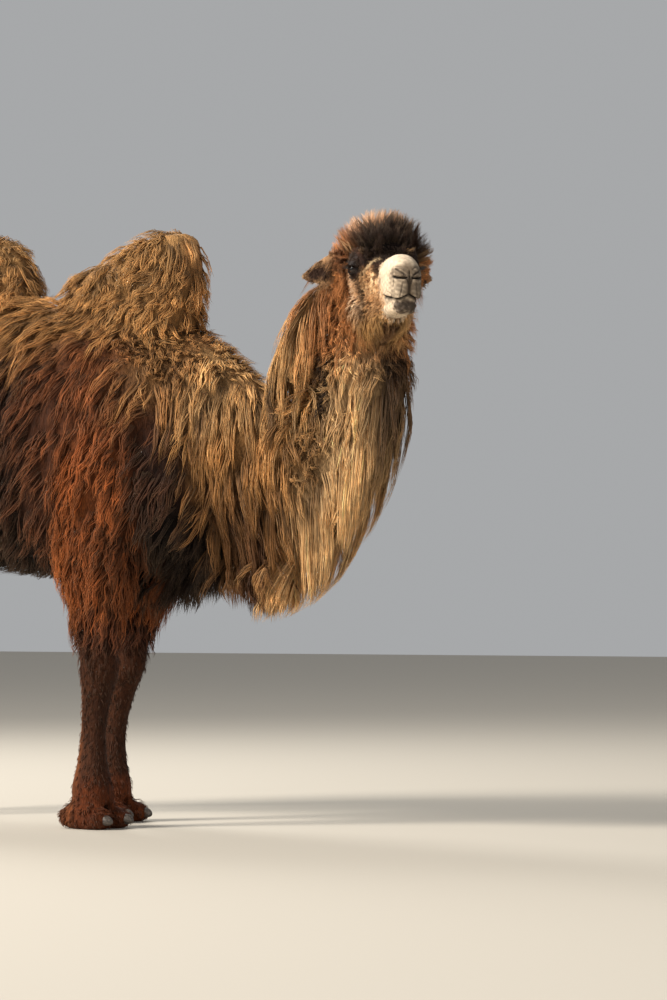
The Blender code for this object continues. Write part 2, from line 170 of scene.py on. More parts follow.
def ballMesh(name, around, high):
    # a smooth ball of radius 1
    bm = bmesh.new()
    bmesh.ops.create_uvsphere(bm, u_segments=around, v_segments=high, radius=1.0)
    mesh = bpy.data.meshes.new(name)
    bm.to_mesh(mesh)
    bm.free()
    for face in mesh.polygons:
        face.use_smooth = True
    return mesh


def addFloats(mesh, name, values):
    layer = mesh.attributes.new(name, "FLOAT", "POINT")
    layer.data.foreach_set("value", np.ascontiguousarray(values, dtype=np.float32))


def addColours(mesh, name, colours):
    layer = mesh.attributes.new(name, "FLOAT_COLOR", "POINT")
    full = np.ones((len(colours), 4), dtype=np.float32)
    full[:, :3] = colours
    layer.data.foreach_set("color", full.ravel())


def closest(tree, points):
    # nearest places on a surface, and its outward directions there
    places = np.empty((len(points), 3))
    outward = np.empty((len(points), 3))
    for i, point in enumerate(points):
        place, normal, _, _ = tree.find_nearest(point)
        places[i] = place
        outward[i] = normal
    return places, outward


stance = {
    "headYaw": -44,  # degrees; the head looks back to the animal's right
    "headPitch": -1,
    "head": (1.11, -0.12, 1.853),  # midway between the eyes, counted from the forefeet
    "eyeSpread": 0.095,
    "eyeRadius": 0.024,
    "feet": {  # kind and side: x of the sole's middle and its distance from the midline
        ("fore", "right"): (-0.035, 0.165),
        ("fore", "left"): (-0.205, 0.165),
        ("hind", "right"): (-1.10, 0.165),
        ("hind", "left"): (-1.20, 0.165),
    },
    "legRootX": {"fore": -0.06, "hind": -1.13},
    "legRootZ": 1.15,
}
sideSign = {"right": -1.0, "left": 1.0}


def middleOf(node):
    low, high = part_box(node)
    return (low + high) / 2


headAngles = (0, math.radians(stance["headPitch"]), math.radians(stance["headYaw"]))
headTurn = Euler(headAngles, "XYZ").to_matrix()
eyeOffset = headTurn @ Vector((0, -stance["eyeSpread"], 0))
# from the body's own frame, which starts on the ground between the forefeet, to the model's
bodyShift = middleOf("eye_right") - eyeOffset - Vector(stance["head"])
bodyPlace = Matrix.Translation(bodyShift)
headPlace = bodyPlace @ Matrix.Translation(stance["head"]) @ headTurn.to_4x4()
headBack = np.array(headPlace.inverted())
headOut = np.array(headPlace)
headAxes = np.array(headTurn).T  # rows: the head's x, y and z directions in the model


def inHead(points):
    # the model's points in the head's frame: from between the eyes, x to the nose, y to its left, z up
    return points @ headBack[:3, :3].T + headBack[:3, 3]


def fromHead(points):
    return points @ headOut[:3, :3].T + headOut[:3, 3]


def inBody(points):
    return points - np.array(bodyShift)


skinShape = {
    "ringSides": 28,  # points round a form
    "ringSteps": 4,  # rings from one station to the next
    "voxel": 0.014,  # metres
    "hullVoxel": 0.010,
    "headZoom": 1.25,  # metres by which the head's surroundings are spread before the skin is fused
    "headZoomReach": 0.42,
    "smoothing": 4,
    "facesKept": 0.27,  # share of the faces left once the skin under the coat is thinned
}


def upright(outline):
    # stations given by x, top, bottom, half width and coat
    return [(x, 0, (top + low) / 2, half, (top - low) / 2, coat) for x, top, low, half, coat in outline]


# The forms under the coat. A row is one station: x, y, z of its middle, half width, half depth and depth of
# the coat. The widths reach the tips of the coat, as the solids do, and the skin lies inside them.
trunkRows = upright((
    (-1.34, 1.47, 1.24, 0.07, 0.02),
    (-1.27, 1.585, 1.08, 0.21, 0.035),
    (-1.10, 1.70, 0.97, 0.315, 0.04),
    (-0.85, 1.79, 0.92, 0.37, 0.045),
    (-0.55, 1.85, 0.875, 0.405, 0.045),
    (-0.25, 1.855, 0.85, 0.41, 0.045),
    (0.0, 1.82, 0.83, 0.385, 0.045),
    (0.20, 1.735, 0.84, 0.345, 0.045),
    (0.36, 1.575, 0.92, 0.265, 0.045),
    (0.47, 1.42, 1.08, 0.13, 0.03),
))
frontHumpRows = (
    (-0.03, 0, 1.55, 0.25, 0.30, 0.035),
    (0.0, 0, 1.78, 0.205, 0.305, 0.035),
    (0.03, 0, 1.885, 0.165, 0.285, 0.032),
    (0.095, 0.005, 1.95, 0.14, 0.215, 0.03),
    (0.145, 0.01, 2.015, 0.105, 0.135, 0.028),
    (0.165, 0.01, 2.035, 0.06, 0.07, 0.025),
)
rearHumpRows = (
    (-0.66, 0, 1.55, 0.24, 0.34, 0.035),
    (-0.65, 0, 1.80, 0.195, 0.28, 0.035),
    (-0.635, 0.01, 1.90, 0.165, 0.22, 0.032),
    (-0.63, 0.03, 1.99, 0.13, 0.17, 0.03),
    (-0.635, 0.045, 2.05, 0.095, 0.115, 0.028),
    (-0.64, 0.05, 2.07, 0.055, 0.06, 0.025),
)
neckRows = (
    (0.05, 0, 1.42, 0.29, 0.38, 0.04),
    (0.24, 0, 1.36, 0.26, 0.35, 0.04),
    (0.42, 0, 1.285, 0.215, 0.295, 0.04),
    (0.60, 0, 1.21, 0.17, 0.25, 0.035),
    (0.785, 0, 1.235, 0.155, 0.225, 0.035),
    (0.90, 0, 1.375, 0.145, 0.195, 0.035),
    (0.955, 0, 1.545, 0.145, 0.18, 0.035),
    (0.98, -0.005, 1.70, 0.14, 0.17, 0.035),
    (0.995, -0.015, 1.82, 0.125, 0.14, 0.03),
)
napeManeRows = (
    (0.885, -0.01, 1.85, 0.07, 0.055, 0.025),
    (0.798, -0.02, 1.77, 0.095, 0.062, 0.03),
    (0.728, -0.035, 1.63, 0.105, 0.072, 0.03),
    (0.70, -0.040, 1.51, 0.10, 0.078, 0.03),
)
throatManeRows = upright((  # the bottoms stay well above the ends of the locks
    (0.33, 1.35, 1.08, 0.12, 0.03),
    (0.40, 1.35, 0.95, 0.15, 0.035),
    (0.52, 1.32, 0.89, 0.15, 0.04),
    (0.66, 1.30, 0.90, 0.145, 0.04),
    (0.80, 1.34, 0.97, 0.14, 0.04),
    (0.925, 1.42, 1.09, 0.135, 0.04),
    (1.03, 1.55, 1.23, 0.12, 0.035),
    (1.09, 1.62, 1.38, 0.085, 0.03),
))
chestFringeRows = upright((
    (-0.17, 1.10, 0.93, 0.12, 0.03),
    (-0.05, 1.12, 0.87, 0.14, 0.035),
    (0.10, 1.15, 0.84, 0.15, 0.04),
    (0.25, 1.20, 0.85, 0.145, 0.04),
    (0.37, 1.30, 0.89, 0.12, 0.035),
    (0.45, 1.32, 0.93, 0.10, 0.03),
))
tailRows = (
    (-1.26, 0, 1.46, 0.055, 0.06, 0.012),
    (-1.36, 0, 1.42, 0.045, 0.05, 0.014),
    (-1.415, 0, 1.30, 0.04, 0.04, 0.014),
    (-1.425, 0, 1.15, 0.05, 0.04, 0.022),
    (-1.42, 0, 1.02, 0.05, 0.04, 0.028),
)
foreLegRows = (  # x and y from the sole's middle
    (0.15, 0.045, 1.46, 0.13, 0.20, 0.045),
    (0.115, 0.095, 1.26, 0.150, 0.205, 0.040),
    (0.085, 0.085, 1.08, 0.140, 0.185, 0.040),
    (0.065, 0.065, 0.92, 0.125, 0.17, 0.040),
    (0.045, 0.03, 0.78, 0.105, 0.14, 0.045),
    (0.03, 0.015, 0.655, 0.083, 0.10, 0.032),
    (0.03, 0, 0.545, 0.078, 0.086, 0.016),
    (0.015, 0, 0.445, 0.058, 0.062, 0.010),
    (0, 0, 0.33, 0.047, 0.051, 0.007),
    (-0.005, 0, 0.22, 0.058, 0.062, 0.008),
    (-0.005, 0, 0.14, 0.08, 0.085, 0.012),
    (0, 0, 0.085, 0.08, 0.085, 0.012),
)
hindLegRows = (
    (0.10, 0.045, 1.48, 0.12, 0.22, 0.04),
    (0.10, 0.07, 1.28, 0.15, 0.245, 0.04),
    (0.10, 0.065, 1.10, 0.135, 0.21, 0.04),
    (0.055, 0.05, 0.94, 0.11, 0.155, 0.036),
    (-0.01, 0.03, 0.80, 0.082, 0.112, 0.026),
    (-0.075, 0.012, 0.685, 0.068, 0.09, 0.018),
    (-0.08, 0.003, 0.60, 0.06, 0.072, 0.012),
    (-0.058, 0, 0.48, 0.048, 0.052, 0.008),
    (-0.03, 0, 0.32, 0.043, 0.046, 0.007),
    (-0.018, 0, 0.20, 0.054, 0.058, 0.008),
    (-0.01, 0, 0.13, 0.072, 0.078, 0.012),
    (0, 0, 0.08, 0.072, 0.078, 0.012),
)
toeRows = (  # along the toe as a share of its length, lift, half width, half height
    (-0.50, 0.030, 0.026, 0.020, 0.006),
    (-0.40, 0.038, 0.046, 0.040, 0.006),
    (-0.15, 0.042, 0.055, 0.052, 0.007),
    (0.15, 0.036, 0.055, 0.047, 0.006),
    (0.38, 0.030, 0.046, 0.038, 0.005),
    (0.50, 0.024, 0.028, 0.020, 0.004),
)
toeShape = {"spread": 0.047, "length": {"fore": 0.215, "hind": 0.205}, "splay": 6, "outward": 5}

# The head's stations are in its own frame.
skullRows = (
    (-0.24, 0, -0.02, 0.06, 0.06, 0.02),
    (-0.19, 0, -0.015, 0.10, 0.10, 0.02),
    (-0.10, 0, -0.015, 0.112, 0.115, 0.02),
    (-0.02, 0, -0.028, 0.112, 0.108, 0.014),
    (0.05, 0, -0.048, 0.088, 0.098, 0.010),
    (0.11, 0, -0.060, 0.066, 0.090, 0.007),
    (0.17, 0, -0.062, 0.055, 0.092, 0.004),
    (0.23, 0, -0.062, 0.053, 0.088, 0.001),
    (0.28, 0, -0.070, 0.051, 0.072, 0.001),
    (0.312, 0, -0.084, 0.042, 0.048, 0.001),
    (0.330, 0, -0.090, 0.026, 0.026, 0.001),
)
jawRows = (
    (-0.14, 0, -0.115, 0.085, 0.075, 0.02),
    (-0.05, 0, -0.145, 0.082, 0.065, 0.015),
    (0.04, 0, -0.148, 0.060, 0.050, 0.010),
    (0.13, 0, -0.143, 0.047, 0.038, 0.006),
    (0.21, 0, -0.143, 0.042, 0.031, 0.002),
    (0.265, 0, -0.145, 0.037, 0.027, 0.001),
    (0.300, 0, -0.145, 0.026, 0.021, 0.001),
)
crownRows = (
    (-0.24, 0.010, 0.01, 0.08, 0.07, 0.03),
    (-0.20, 0.016, 0.02, 0.135, 0.115, 0.045),
    (-0.13, 0.020, 0.03, 0.158, 0.140, 0.055),
    (-0.05, 0.020, 0.05, 0.148, 0.118, 0.055),
    (0.01, 0.014, 0.06, 0.12, 0.083, 0.045),
    (0.05, 0.008, 0.06, 0.09, 0.055, 0.03),
)
cheekRows = (
    (-0.22, 0, -0.08, 0.10, 0.09, 0.03),
    (-0.15, 0, -0.115, 0.135, 0.125, 0.035),
    (-0.06, 0, -0.13, 0.125, 0.12, 0.035),
    (0.03, 0, -0.145, 0.095, 0.095, 0.03),
    (0.11, 0, -0.155, 0.06, 0.065, 0.02),
)
earRows = (  # half height, half thickness
    (-0.13, 0.100, 0.016, 0.064, 0.030, 0.004),
    (-0.153, 0.140, 0.013, 0.058, 0.026, 0.003),
    (-0.183, 0.185, 0.004, 0.037, 0.019, 0.003),
    (-0.205, 0.215, -0.002, 0.018, 0.011, 0.002),
    (-0.213, 0.229, -0.004, 0.007, 0.005, 0.001),
)
earReach = {"right": 1.0, "left": 0.93}
softForms = (  # rounded forms on both sides of the head: middle, radii
    ((-0.006, 0.078, 0.008), (0.062, 0.038, 0.048)),  # eye socket
    ((-0.008, 0.080, 0.047), (0.050, 0.024, 0.014)),  # brow
    ((0.085, 0.048, -0.058), (0.070, 0.018, 0.020)),  # cheek bone
    ((0.303, 0.020, -0.040), (0.027, 0.022, 0.017)),  # bulb over the nostril
    ((0.286, 0.021, -0.098), (0.041, 0.028, 0.037)),  # half of the split upper lip
    ((0.276, 0.010, -0.158), (0.030, 0.022, 0.014)),  # half of the chin
)


def smoothRows(rows, steps):
    # Catmull-Rom curve through the rows
    table = np.array(rows, float)
    padded = np.vstack([2 * table[0] - table[1], table, 2 * table[-1] - table[-2]])
    found = []
    for i in range(1, len(padded) - 2):
        a, b, c, d = padded[i - 1:i + 3]
        for t in np.arange(steps) / steps:
            bend = (2 * a - 5 * b + 4 * c - d) * t**2 + (3 * b - a - 3 * c + d) * t**3
            found.append(0.5 * (2 * b + (c - a) * t + bend))
    found.append(table[-1])
    return np.array(found)


def makeForm(name, rows, place=bodyPlace, side=(0, 1, 0), facing=None, taper=0.0, squareness=2.0):
    # a lofted form: the middles of its rings, their two directions and half sizes under the coat
    table = smoothRows(rows, skinShape["ringSteps"])
    turn = place.to_3x3()
    centres = np.array([place @ Vector(row[:3]) for row in table])
    sideways = turn @ Vector(side)
    across, upward = [], []
    for i in range(len(table)):
        ahead = Vector(centres[min(i + 1, len(table) - 1)] - centres[max(i - 1, 0)]).normalized()
        if facing is not None:
            ahead = turn @ Vector(facing)
        wide = (sideways - ahead * sideways.dot(ahead)).normalized()
        across.append(wide)
        upward.append(ahead.cross(wide).normalized())
    radii = np.maximum(table[:, 3:5] - table[:, 5:6], 0.003)
    return {"name": name, "centres": centres, "across": np.array(across), "upward": np.array(upward),
            "radii": radii, "taper": taper, "squareness": squareness}


def addForm(bm, form):
    # the form as a closed body
    rings = []
    power = 2.0 / form["squareness"]
    stations = zip(form["centres"], form["across"], form["upward"], form["radii"])
    for centre, across, upward, radius in stations:
        ring = []
        for k in range(skinShape["ringSides"]):
            angle = 2 * math.pi * k / skinShape["ringSides"]
            c, s = math.cos(angle), math.sin(angle)
            wide = math.copysign(abs(c) ** power, c) * radius[0] * (1 - form["taper"] * s)
            high = math.copysign(abs(s) ** power, s) * radius[1]
            ring.append(bm.verts.new(centre + across * wide + upward * high))
        rings.append(ring)
    for low, high in zip(rings, rings[1:]):
        for k in range(len(low)):
            n = (k + 1) % len(low)
            bm.faces.new((low[k], low[n], high[n], high[k]))
    bm.faces.new(list(reversed(rings[0])))
    bm.faces.new(rings[-1])


def legRows(rows, kind, side):
    # the leg's stations from its sole, leaning to its root with height
    footX, footY = stance["feet"][kind, side]
    lean = stance["legRootX"][kind] - footX
    made = []
    for x, y, z, half, deep, coat in rows:
        share = min(z / stance["legRootZ"], 1.0) ** 2
        made.append((footX + lean * share + x, sideSign[side] * (footY + y), z, half, deep, coat))
    return made


def toeForms(kind, side):
    sign = sideSign[side]
    footX, footY = stance["feet"][kind, side]
    made = []
    for outward in (-1, 1):
        heading = math.radians(toeShape["splay"] * outward + toeShape["outward"]) * sign
        middle = Vector((footX, sign * (footY + outward * toeShape["spread"]), 0))
        place = bodyPlace @ Matrix.Translation(middle) @ Matrix.Rotation(heading, 4, "Z")
        rows = [(along * toeShape["length"][kind], 0, lift, half, deep, coat)
                for along, lift, half, deep, coat in toeRows]
        made.append(makeForm(f"foot_{kind}_{side}", rows, place, taper=0.12, squareness=2.6))
    return made


def allForms():
    forward, up = (1, 0, 0), (0, 0, 1)
    forms = [
        makeForm("trunk", trunkRows, taper=0.14, squareness=2.25, facing=forward),
        makeForm("frontHump", frontHumpRows, facing=up),
        makeForm("rearHump", rearHumpRows, facing=up),
        makeForm("neck", neckRows, taper=0.08),
        makeForm("napeMane", napeManeRows),
        makeForm("throatMane", throatManeRows, taper=-0.45, facing=forward),
        makeForm("chestFringe", chestFringeRows, taper=-0.35, facing=forward),
        makeForm("tail", tailRows),
        makeForm("skull", skullRows, headPlace, taper=-0.02, squareness=2.55),
        makeForm("jaw", jawRows, headPlace, taper=0.05),
        makeForm("crown", crownRows, headPlace, taper=0.16, facing=forward),
        makeForm("cheeks", cheekRows, headPlace),
    ]
    for kind, side in stance["feet"]:
        rows = foreLegRows if kind == "fore" else hindLegRows
        forms.append(makeForm(f"leg_{kind}_{side}", legRows(rows, kind, side), facing=up))
        forms.extend(toeForms(kind, side))
    for side, reach in earReach.items():
        rows = [(x, y * sideSign[side] * reach, *rest) for x, y, *rest in earRows]
        forms.append(makeForm(f"ear_{side}", rows, headPlace, side=(0, 0, 1)))
    return forms


forms = allForms()
zoomCentre = np.array(headPlace @ Vector((0.12, 0, -0.05)))


def zoomed(points, back=False):
    # spreads the head's surroundings, so that one voxel size is fine there and coarse on the body
    radiusTable = np.linspace(0, 4, 4000)
    spreadTable = radiusTable + skinShape["headZoom"] * np.tanh(radiusTable / skinShape["headZoomReach"])
    away = points - zoomCentre
    radius = np.linalg.norm(away, axis=1)
    if back:
        wanted = np.interp(radius, spreadTable, radiusTable)
    else:
        wanted = np.interp(radius, radiusTable, spreadTable)
    return zoomCentre + away * (wanted / np.maximum(radius, 1e-9))[:, None]


def fuse(bm, name, voxel, smoothing, zoom=False):
    # one closed surface round everything in bm
    bmesh.ops.recalc_face_normals(bm, faces=bm.faces)
    mesh = bpy.data.meshes.new(name)
    bm.to_mesh(mesh)
    bm.free()
    if zoom:
        setPoints(mesh, zoomed(pointsOf(mesh)))
    thing = addObject(name, mesh)
    remesh = thing.modifiers.new("fuse", "REMESH")
    remesh.mode = "VOXEL"
    remesh.voxel_size = voxel
    remesh.use_smooth_shade = True
    if smoothing:
        soften = thing.modifiers.new("soften", "SMOOTH")
        soften.factor = 0.5
        soften.iterations = smoothing
    made = evaluatedMesh(thing)
    if zoom:
        setPoints(made, zoomed(pointsOf(made), back=True))
    return made


def nearLine(points, path):
    # distance from each point to a line of points, and how far along it, 0 to 1
    path = np.array(path, float)
    best = np.full(len(points), 1e9)
    along = np.zeros(len(points))
    for i in range(len(path) - 1):
        a, span = path[i], path[i + 1] - path[i]
        t = np.clip((points - a) @ span / max(span @ span, 1e-12), 0, 1)
        gap = np.linalg.norm(points - (a + t[:, None] * span), axis=1)
        closer = gap < best
        best[closer] = gap[closer]
        along[closer] = (i + t[closer]) / (len(path) - 1)
    return best, along


# The face's folds and slits: lines on its left half in the head's frame. The right half mirrors them in y.
faceLines = {  # name: (points near the skin, half width, depth; a negative depth raises a ridge)
    "nostril slit": (((0.335, 0.009, -0.061), (0.328, 0.022, -0.063), (0.315, 0.035, -0.061),
                      (0.300, 0.042, -0.056)), 0.0036, 0.012),
    "nostril crease": (((0.332, 0.013, -0.053), (0.320, 0.027, -0.042),
                        (0.303, 0.039, -0.031)), 0.0030, 0.006),
    "nostril fold": (((0.328, 0.019, -0.054), (0.314, 0.033, -0.046)), 0.0038, -0.0025),
    "bulb crease": (((0.326, 0.010, -0.036), (0.312, 0.024, -0.028),
                     (0.296, 0.032, -0.026)), 0.0028, 0.002),
    "nostril rim": (((0.334, 0.014, -0.070), (0.324, 0.030, -0.066),
                     (0.305, 0.042, -0.058)), 0.0042, -0.0022),
    "nose middle": (((0.330, 0, -0.040), (0.336, 0, -0.058)), 0.0036, 0.004),
    "lip groove": (((0.336, 0, -0.060), (0.338, 0, -0.092), (0.334, 0, -0.133)), 0.0040, 0.009),
    "nostril groove": (((0.335, 0.009, -0.064), (0.337, 0.004, -0.082)), 0.0030, 0.005),
    "lip wrinkle": (((0.325, 0.020, -0.078), (0.324, 0.024, -0.098),
                     (0.316, 0.028, -0.122)), 0.0030, 0.002),
    "lip wrinkle back": (((0.302, 0.042, -0.070), (0.296, 0.046, -0.094),
                          (0.284, 0.048, -0.115)), 0.0032, 0.002),
    "mouth": (((0.334, 0.000, -0.138), (0.318, 0.025, -0.136), (0.290, 0.044, -0.131),
               (0.245, 0.050, -0.122), (0.200, 0.050, -0.112), (0.165, 0.049, -0.104)), 0.0042, 0.012),
    "lip curl": (((0.326, 0.018, -0.125), (0.304, 0.038, -0.121), (0.268, 0.048, -0.112)), 0.006, -0.0022),
    "lower lip": (((0.312, 0.0, -0.150), (0.299, 0.020, -0.147), (0.265, 0.036, -0.142)), 0.006, -0.003),
    "chin crease": (((0.306, 0.0, -0.160), (0.290, 0.020, -0.158), (0.260, 0.036, -0.156)), 0.004, 0.003),
    "tear stain": (((0.010, 0.100, -0.030), (0.024, 0.094, -0.060), (0.018, 0.092, -0.130)), 0.010, 0.004),
    "tear hollow": (((0.045, 0.085, -0.018), (0.062, 0.076, -0.034),
                     (0.080, 0.068, -0.046)), 0.009, 0.004),
    "lid crease": (((-0.032, 0.118, 0.026), (0.0, 0.120, 0.036), (0.030, 0.105, 0.028)), 0.0035, 0.004),
    "face ridge": (((0.044, 0.082, -0.022), (0.062, 0.066, -0.002), (0.080, 0.046, 0.018),
                    (0.092, 0.036, 0.026)), 0.007, -0.006),
    "face hollow": (((0.098, 0.055, -0.006), (0.112, 0.053, -0.016),
                     (0.122, 0.050, -0.028)), 0.012, 0.008),
}
eyeShape = {
    "forward": 30,  # degrees that the gaze turns from straight sideways towards the nose
    "halfLength": 58,  # degrees of the opening as seen from the eyeball's middle
    "upper": 23,  # degrees up to the upper lid's edge, and down to the lower lid's
    "lower": 32,
    "lid": 0.0030,
    "flare": 0.00045,  # metres that the lids may rise for each degree away from their edges
    "socketDepth": 0.75,  # of the radius, where the skin passes behind the eyeball
}


def eyeMiddle(side):
    return headPlace @ Vector((0, sideSign[side] * stance["eyeSpread"], 0))


def gazeAxes(side):
    # the eye's gaze, and the horizontal and vertical directions across it, in the head's frame
    turn = math.radians(eyeShape["forward"])
    gaze = Vector((math.sin(turn), sideSign[side] * math.cos(turn), -0.03)).normalized()
    across = Vector((0, 0, 1)).cross(gaze).normalized()
    return gaze, across, gaze.cross(across)


def openingEdge(degreesAlong, high):
    # height of the almond opening at an angle along it, above or below
    share = np.clip(1 - np.abs(degreesAlong / eyeShape["halfLength"]) ** 2.2, 0, 1)
    return np.where(high > 0, eyeShape["upper"], eyeShape["lower"]) * share


def eyeAngles(points, side):
    # points seen from the eyeball's middle: distance, heading, degrees along and above, and facing
    gaze, across, above = (np.array(axis) for axis in gazeAxes(side))
    away = points - np.array([0, sideSign[side] * stance["eyeSpread"], 0])
    radius = np.linalg.norm(away, axis=1)
    heading = away / np.maximum(radius, 1e-6)[:, None]
    facing = heading @ gaze
    along = np.degrees(np.arctan2(heading @ across, facing))
    high = np.degrees(np.arcsin(np.clip(heading @ above, -1, 1)))
    return radius, heading, along, high, facing


def lidGap(along, high):
    # degrees outside the opening's edge; below 0 inside it
    beyond = np.maximum(np.abs(along) - eyeShape["halfLength"], 0)
    return np.hypot(np.maximum(np.abs(high) - openingEdge(along, high), 0), beyond) - (
        0.01 * ((np.abs(high) < openingEdge(along, high)) & (beyond <= 0)))


def shapeEye(points, side):
    # opens the lids over the eyeball; points are in the head's frame
    radius, heading, along, high, facing = eyeAngles(points, side)
    middle = np.array([0, sideSign[side] * stance["eyeSpread"], 0])
    gap = lidGap(along, high)
    close = (radius < stance["eyeRadius"] * 2.2) & (facing > 0.1)
    lidRadius = stance["eyeRadius"] + eyeShape["lid"] + 0.0016 * np.exp(-((gap - 3) / 4) ** 2)
    ceiling = lidRadius + eyeShape["flare"] * gap
    wanted = np.clip(radius, lidRadius, np.maximum(ceiling, lidRadius))
    wanted = np.where(gap < 0, stance["eyeRadius"] * eyeShape["socketDepth"], wanted)
    points[close] = middle + heading[close] * wanted[close, None]


def refineFace(mesh):
    # finer faces on the muzzle and round the eyes, then a little smoothing there
    bm = bmesh.new()
    bm.from_mesh(mesh)
    bm.faces.ensure_lookup_table()
    middles = inHead(np.array([face.calc_center_median() for face in bm.faces]))
    mirrored = np.stack([middles[:, 0], np.abs(middles[:, 1]), middles[:, 2]], axis=1)
    nearEye = np.linalg.norm(mirrored - [0.008, stance["eyeSpread"] + 0.012, 0.006], axis=1) < 0.046
    onMuzzle = (middles[:, 0] > 0.21) & (np.abs(middles[:, 1]) < 0.08) & (middles[:, 2] > -0.21)
    onMuzzle &= np.linalg.norm(middles, axis=1) < 0.40
    chosen = [bm.faces[i] for i in np.where(nearEye | onMuzzle)[0]]
    edges = list({edge for face in chosen for edge in face.edges})
    cut = bmesh.ops.subdivide_edges(bm, edges=edges, cuts=1, use_grid_fill=True)
    vertices = [part for part in cut["geom_inner"] if isinstance(part, bmesh.types.BMVert)]
    vertices += [vertex for face in chosen if face.is_valid for vertex in face.verts]
    for _ in range(2):
        bmesh.ops.smooth_vert(bm, verts=list(set(vertices)), factor=0.5, use_axis_x=True, use_axis_y=True,
                              use_axis_z=True)
    bm.to_mesh(mesh)
    bm.free()
    mesh.update()


def thinUnderCoat(mesh):
    # fewer faces wherever the coat hides the skin; the bare face keeps all of its own
    hx, hy, hz = inHead(pointsOf(mesh)).T
    bare = (hx > -0.06) & (hx < 0.40) & (np.abs(hy) < 0.13) & (hz > -0.20) & (hz < 0.07)
    thing = addObject("thinned", mesh)
    hidden = thing.vertex_groups.new(name="under the coat")
    hidden.add(np.where(~bare)[0].tolist(), 1.0, "REPLACE")
    thin = thing.modifiers.new("thin", "DECIMATE")
    thin.ratio = skinShape["facesKept"]
    thin.vertex_group = hidden.name
    thin.vertex_group_factor = 1.0
    return evaluatedMesh(thing)


def layOnFace(mesh):
    # the face's lines drawn onto the skin, each as a fine path with its mirror image
    tree = BVHTree.FromPolygons([v.co for v in mesh.vertices], [tuple(p.vertices) for p in mesh.polygons])
    steps = 8  # between two points of a line
    laid = {}
    for name, (line, halfWidth, depth) in faceLines.items():
        corners = np.array(line)
        spot = np.arange((len(line) - 1) * steps + 1) / steps
        index = np.minimum(spot.astype(int), len(line) - 2)
        fine = corners[index] + (corners[index + 1] - corners[index]) * (spot - index)[:, None]
        for sign in ((1, -1) if corners[:, 1].any() else (1,)):
            laid[name, sign] = inHead(closest(tree, fromHead(fine * [1, sign, 1]))[0])
    return laid


def lineGap(head, name):
    # distance from points of the head to a line of the face, on either side
    gaps = [nearLine(head, path)[0] for (own, sign), path in facePaths.items() if own == name]
    return np.min(gaps, axis=0)


def shapeFace(mesh):
    points = pointsOf(mesh)
    outward = normalsOf(mesh) @ headBack[:3, :3].T
    head = inHead(points)
    near = np.where((np.linalg.norm(head, axis=1) < 0.42) & (head[:, 0] > -0.1))[0]
    local = head[near].copy()
    for (name, sign), path in facePaths.items():
        _, halfWidth, depth = faceLines[name]
        gap, along = nearLine(head[near], path)
        ends = np.minimum(1, 6 * np.minimum(along, 1 - along) + 0.35)
        local -= outward[near] * (depth * ends * np.exp(-(gap / halfWidth) ** 2))[:, None]
    for side in sideSign:
        shapeEye(local, side)
    for side, reach in earReach.items():  # the hollow of each ear, open to the front
        path = [(x + 0.012, y * sideSign[side] * reach, z) for x, y, z, *_ in earRows[:4]]
        ear = np.where((np.linalg.norm(head, axis=1) < 0.42) & (head[:, 0] < -0.1))[0]
        gap, along = nearLine(head[ear], path)
        front = np.clip(outward[ear, 0], 0, 1)
        head[ear] -= np.array([0.016, 0, 0]) * (front * np.exp(-(gap / 0.018) ** 2))[:, None]
    head[near] = local
    setPoints(mesh, fromHead(head))


# The markings and the painted light and shade, in the same colours on skin and coat.
coatColours = {name: hexColour(code) for name, code in {
    "flank": "#4e2f1f",
    "back": "#a67848",
    "humpTop": "#ab8253",
    "bellyAndPaintedShade": "#1a0f0a",
    "chest": "#1a0e08",
    "upperChestPaintedShade": "#3a2014",
    "shoulder": "#7d4626",
    "shoulderTip": "#ad8150",
    "thigh": "#8a4a22",
    "thighPaintedHighlight": "#c87a45",
    "thighLow": "#4a2717",
    "shin": "#3b2011",
    "knee": "#40210f",
    "foot": "#552810",
    "rump": "#4c2d1c",
    "tail": "#2c1a11",
    "neck": "#b8854f",
    "throat": "#dbb07c",
    "throatPaintedShadow": "#55351f",
    "throatShade": "#3a2113",
    "maneShade": "#3a2314",
    "nape": "#d0a26c",
    "napeLow": "#7b5834",
    "napeGap": "#22140c",
    "curls": "#8f6a42",
    "neckTop": "#d68c54",
    "crown": "#5f3924",
    "crownPaintedLitSide": "#7c5033",
    "crownTop": "#d8ab88",
    "forehead": "#20120c",
    "cheek": "#c09468",
    "cheekBack": "#c4834f",
    "cheekDark": "#5a3722",
    "cheekLight": "#d8b98f",
    "cheekStripe": "#e8c4a2",
    "beard": "#bf945f",
    "beardPaintedShade": "#4b2d1b",
    "eyePatch": "#291a13",
    "lid": "#1b110d",
    "brow": "#a9855f",
    "muzzle": "#dfc9ad",
    "muzzleGrey": "#837463",
    "nose": "#70604f",
    "lip": "#463c33",
    "nostril": "#130d0a",
    "chin": "#46392f",
    "ear": "#94704f",
    "earInside": "#301e15",
    "earRim": "#b89a76",
}.items()}


def blendIn(colours, name, share):
    colours += (coatColours[name] - colours) * np.clip(share, 0, 1)[:, None]


def mottle(points, size, seed):
    # a smooth field of patches, -1 to 1, about size metres across
    rng = np.random.default_rng(seed)
    total = np.zeros(len(points))
    for _ in range(5):
        wave = rng.normal(size=3) * 2.2 / size
        total += np.sin(points @ wave + rng.uniform(0, 6.28))
    return total / 3


def streaks(points, flow, width, seed):
    # long thin patches that run along a direction, -1 to 1
    flow = np.array(flow) / np.linalg.norm(flow)
    along = (points @ flow)[:, None] * flow
    return mottle(points - along * 0.95, width, seed)


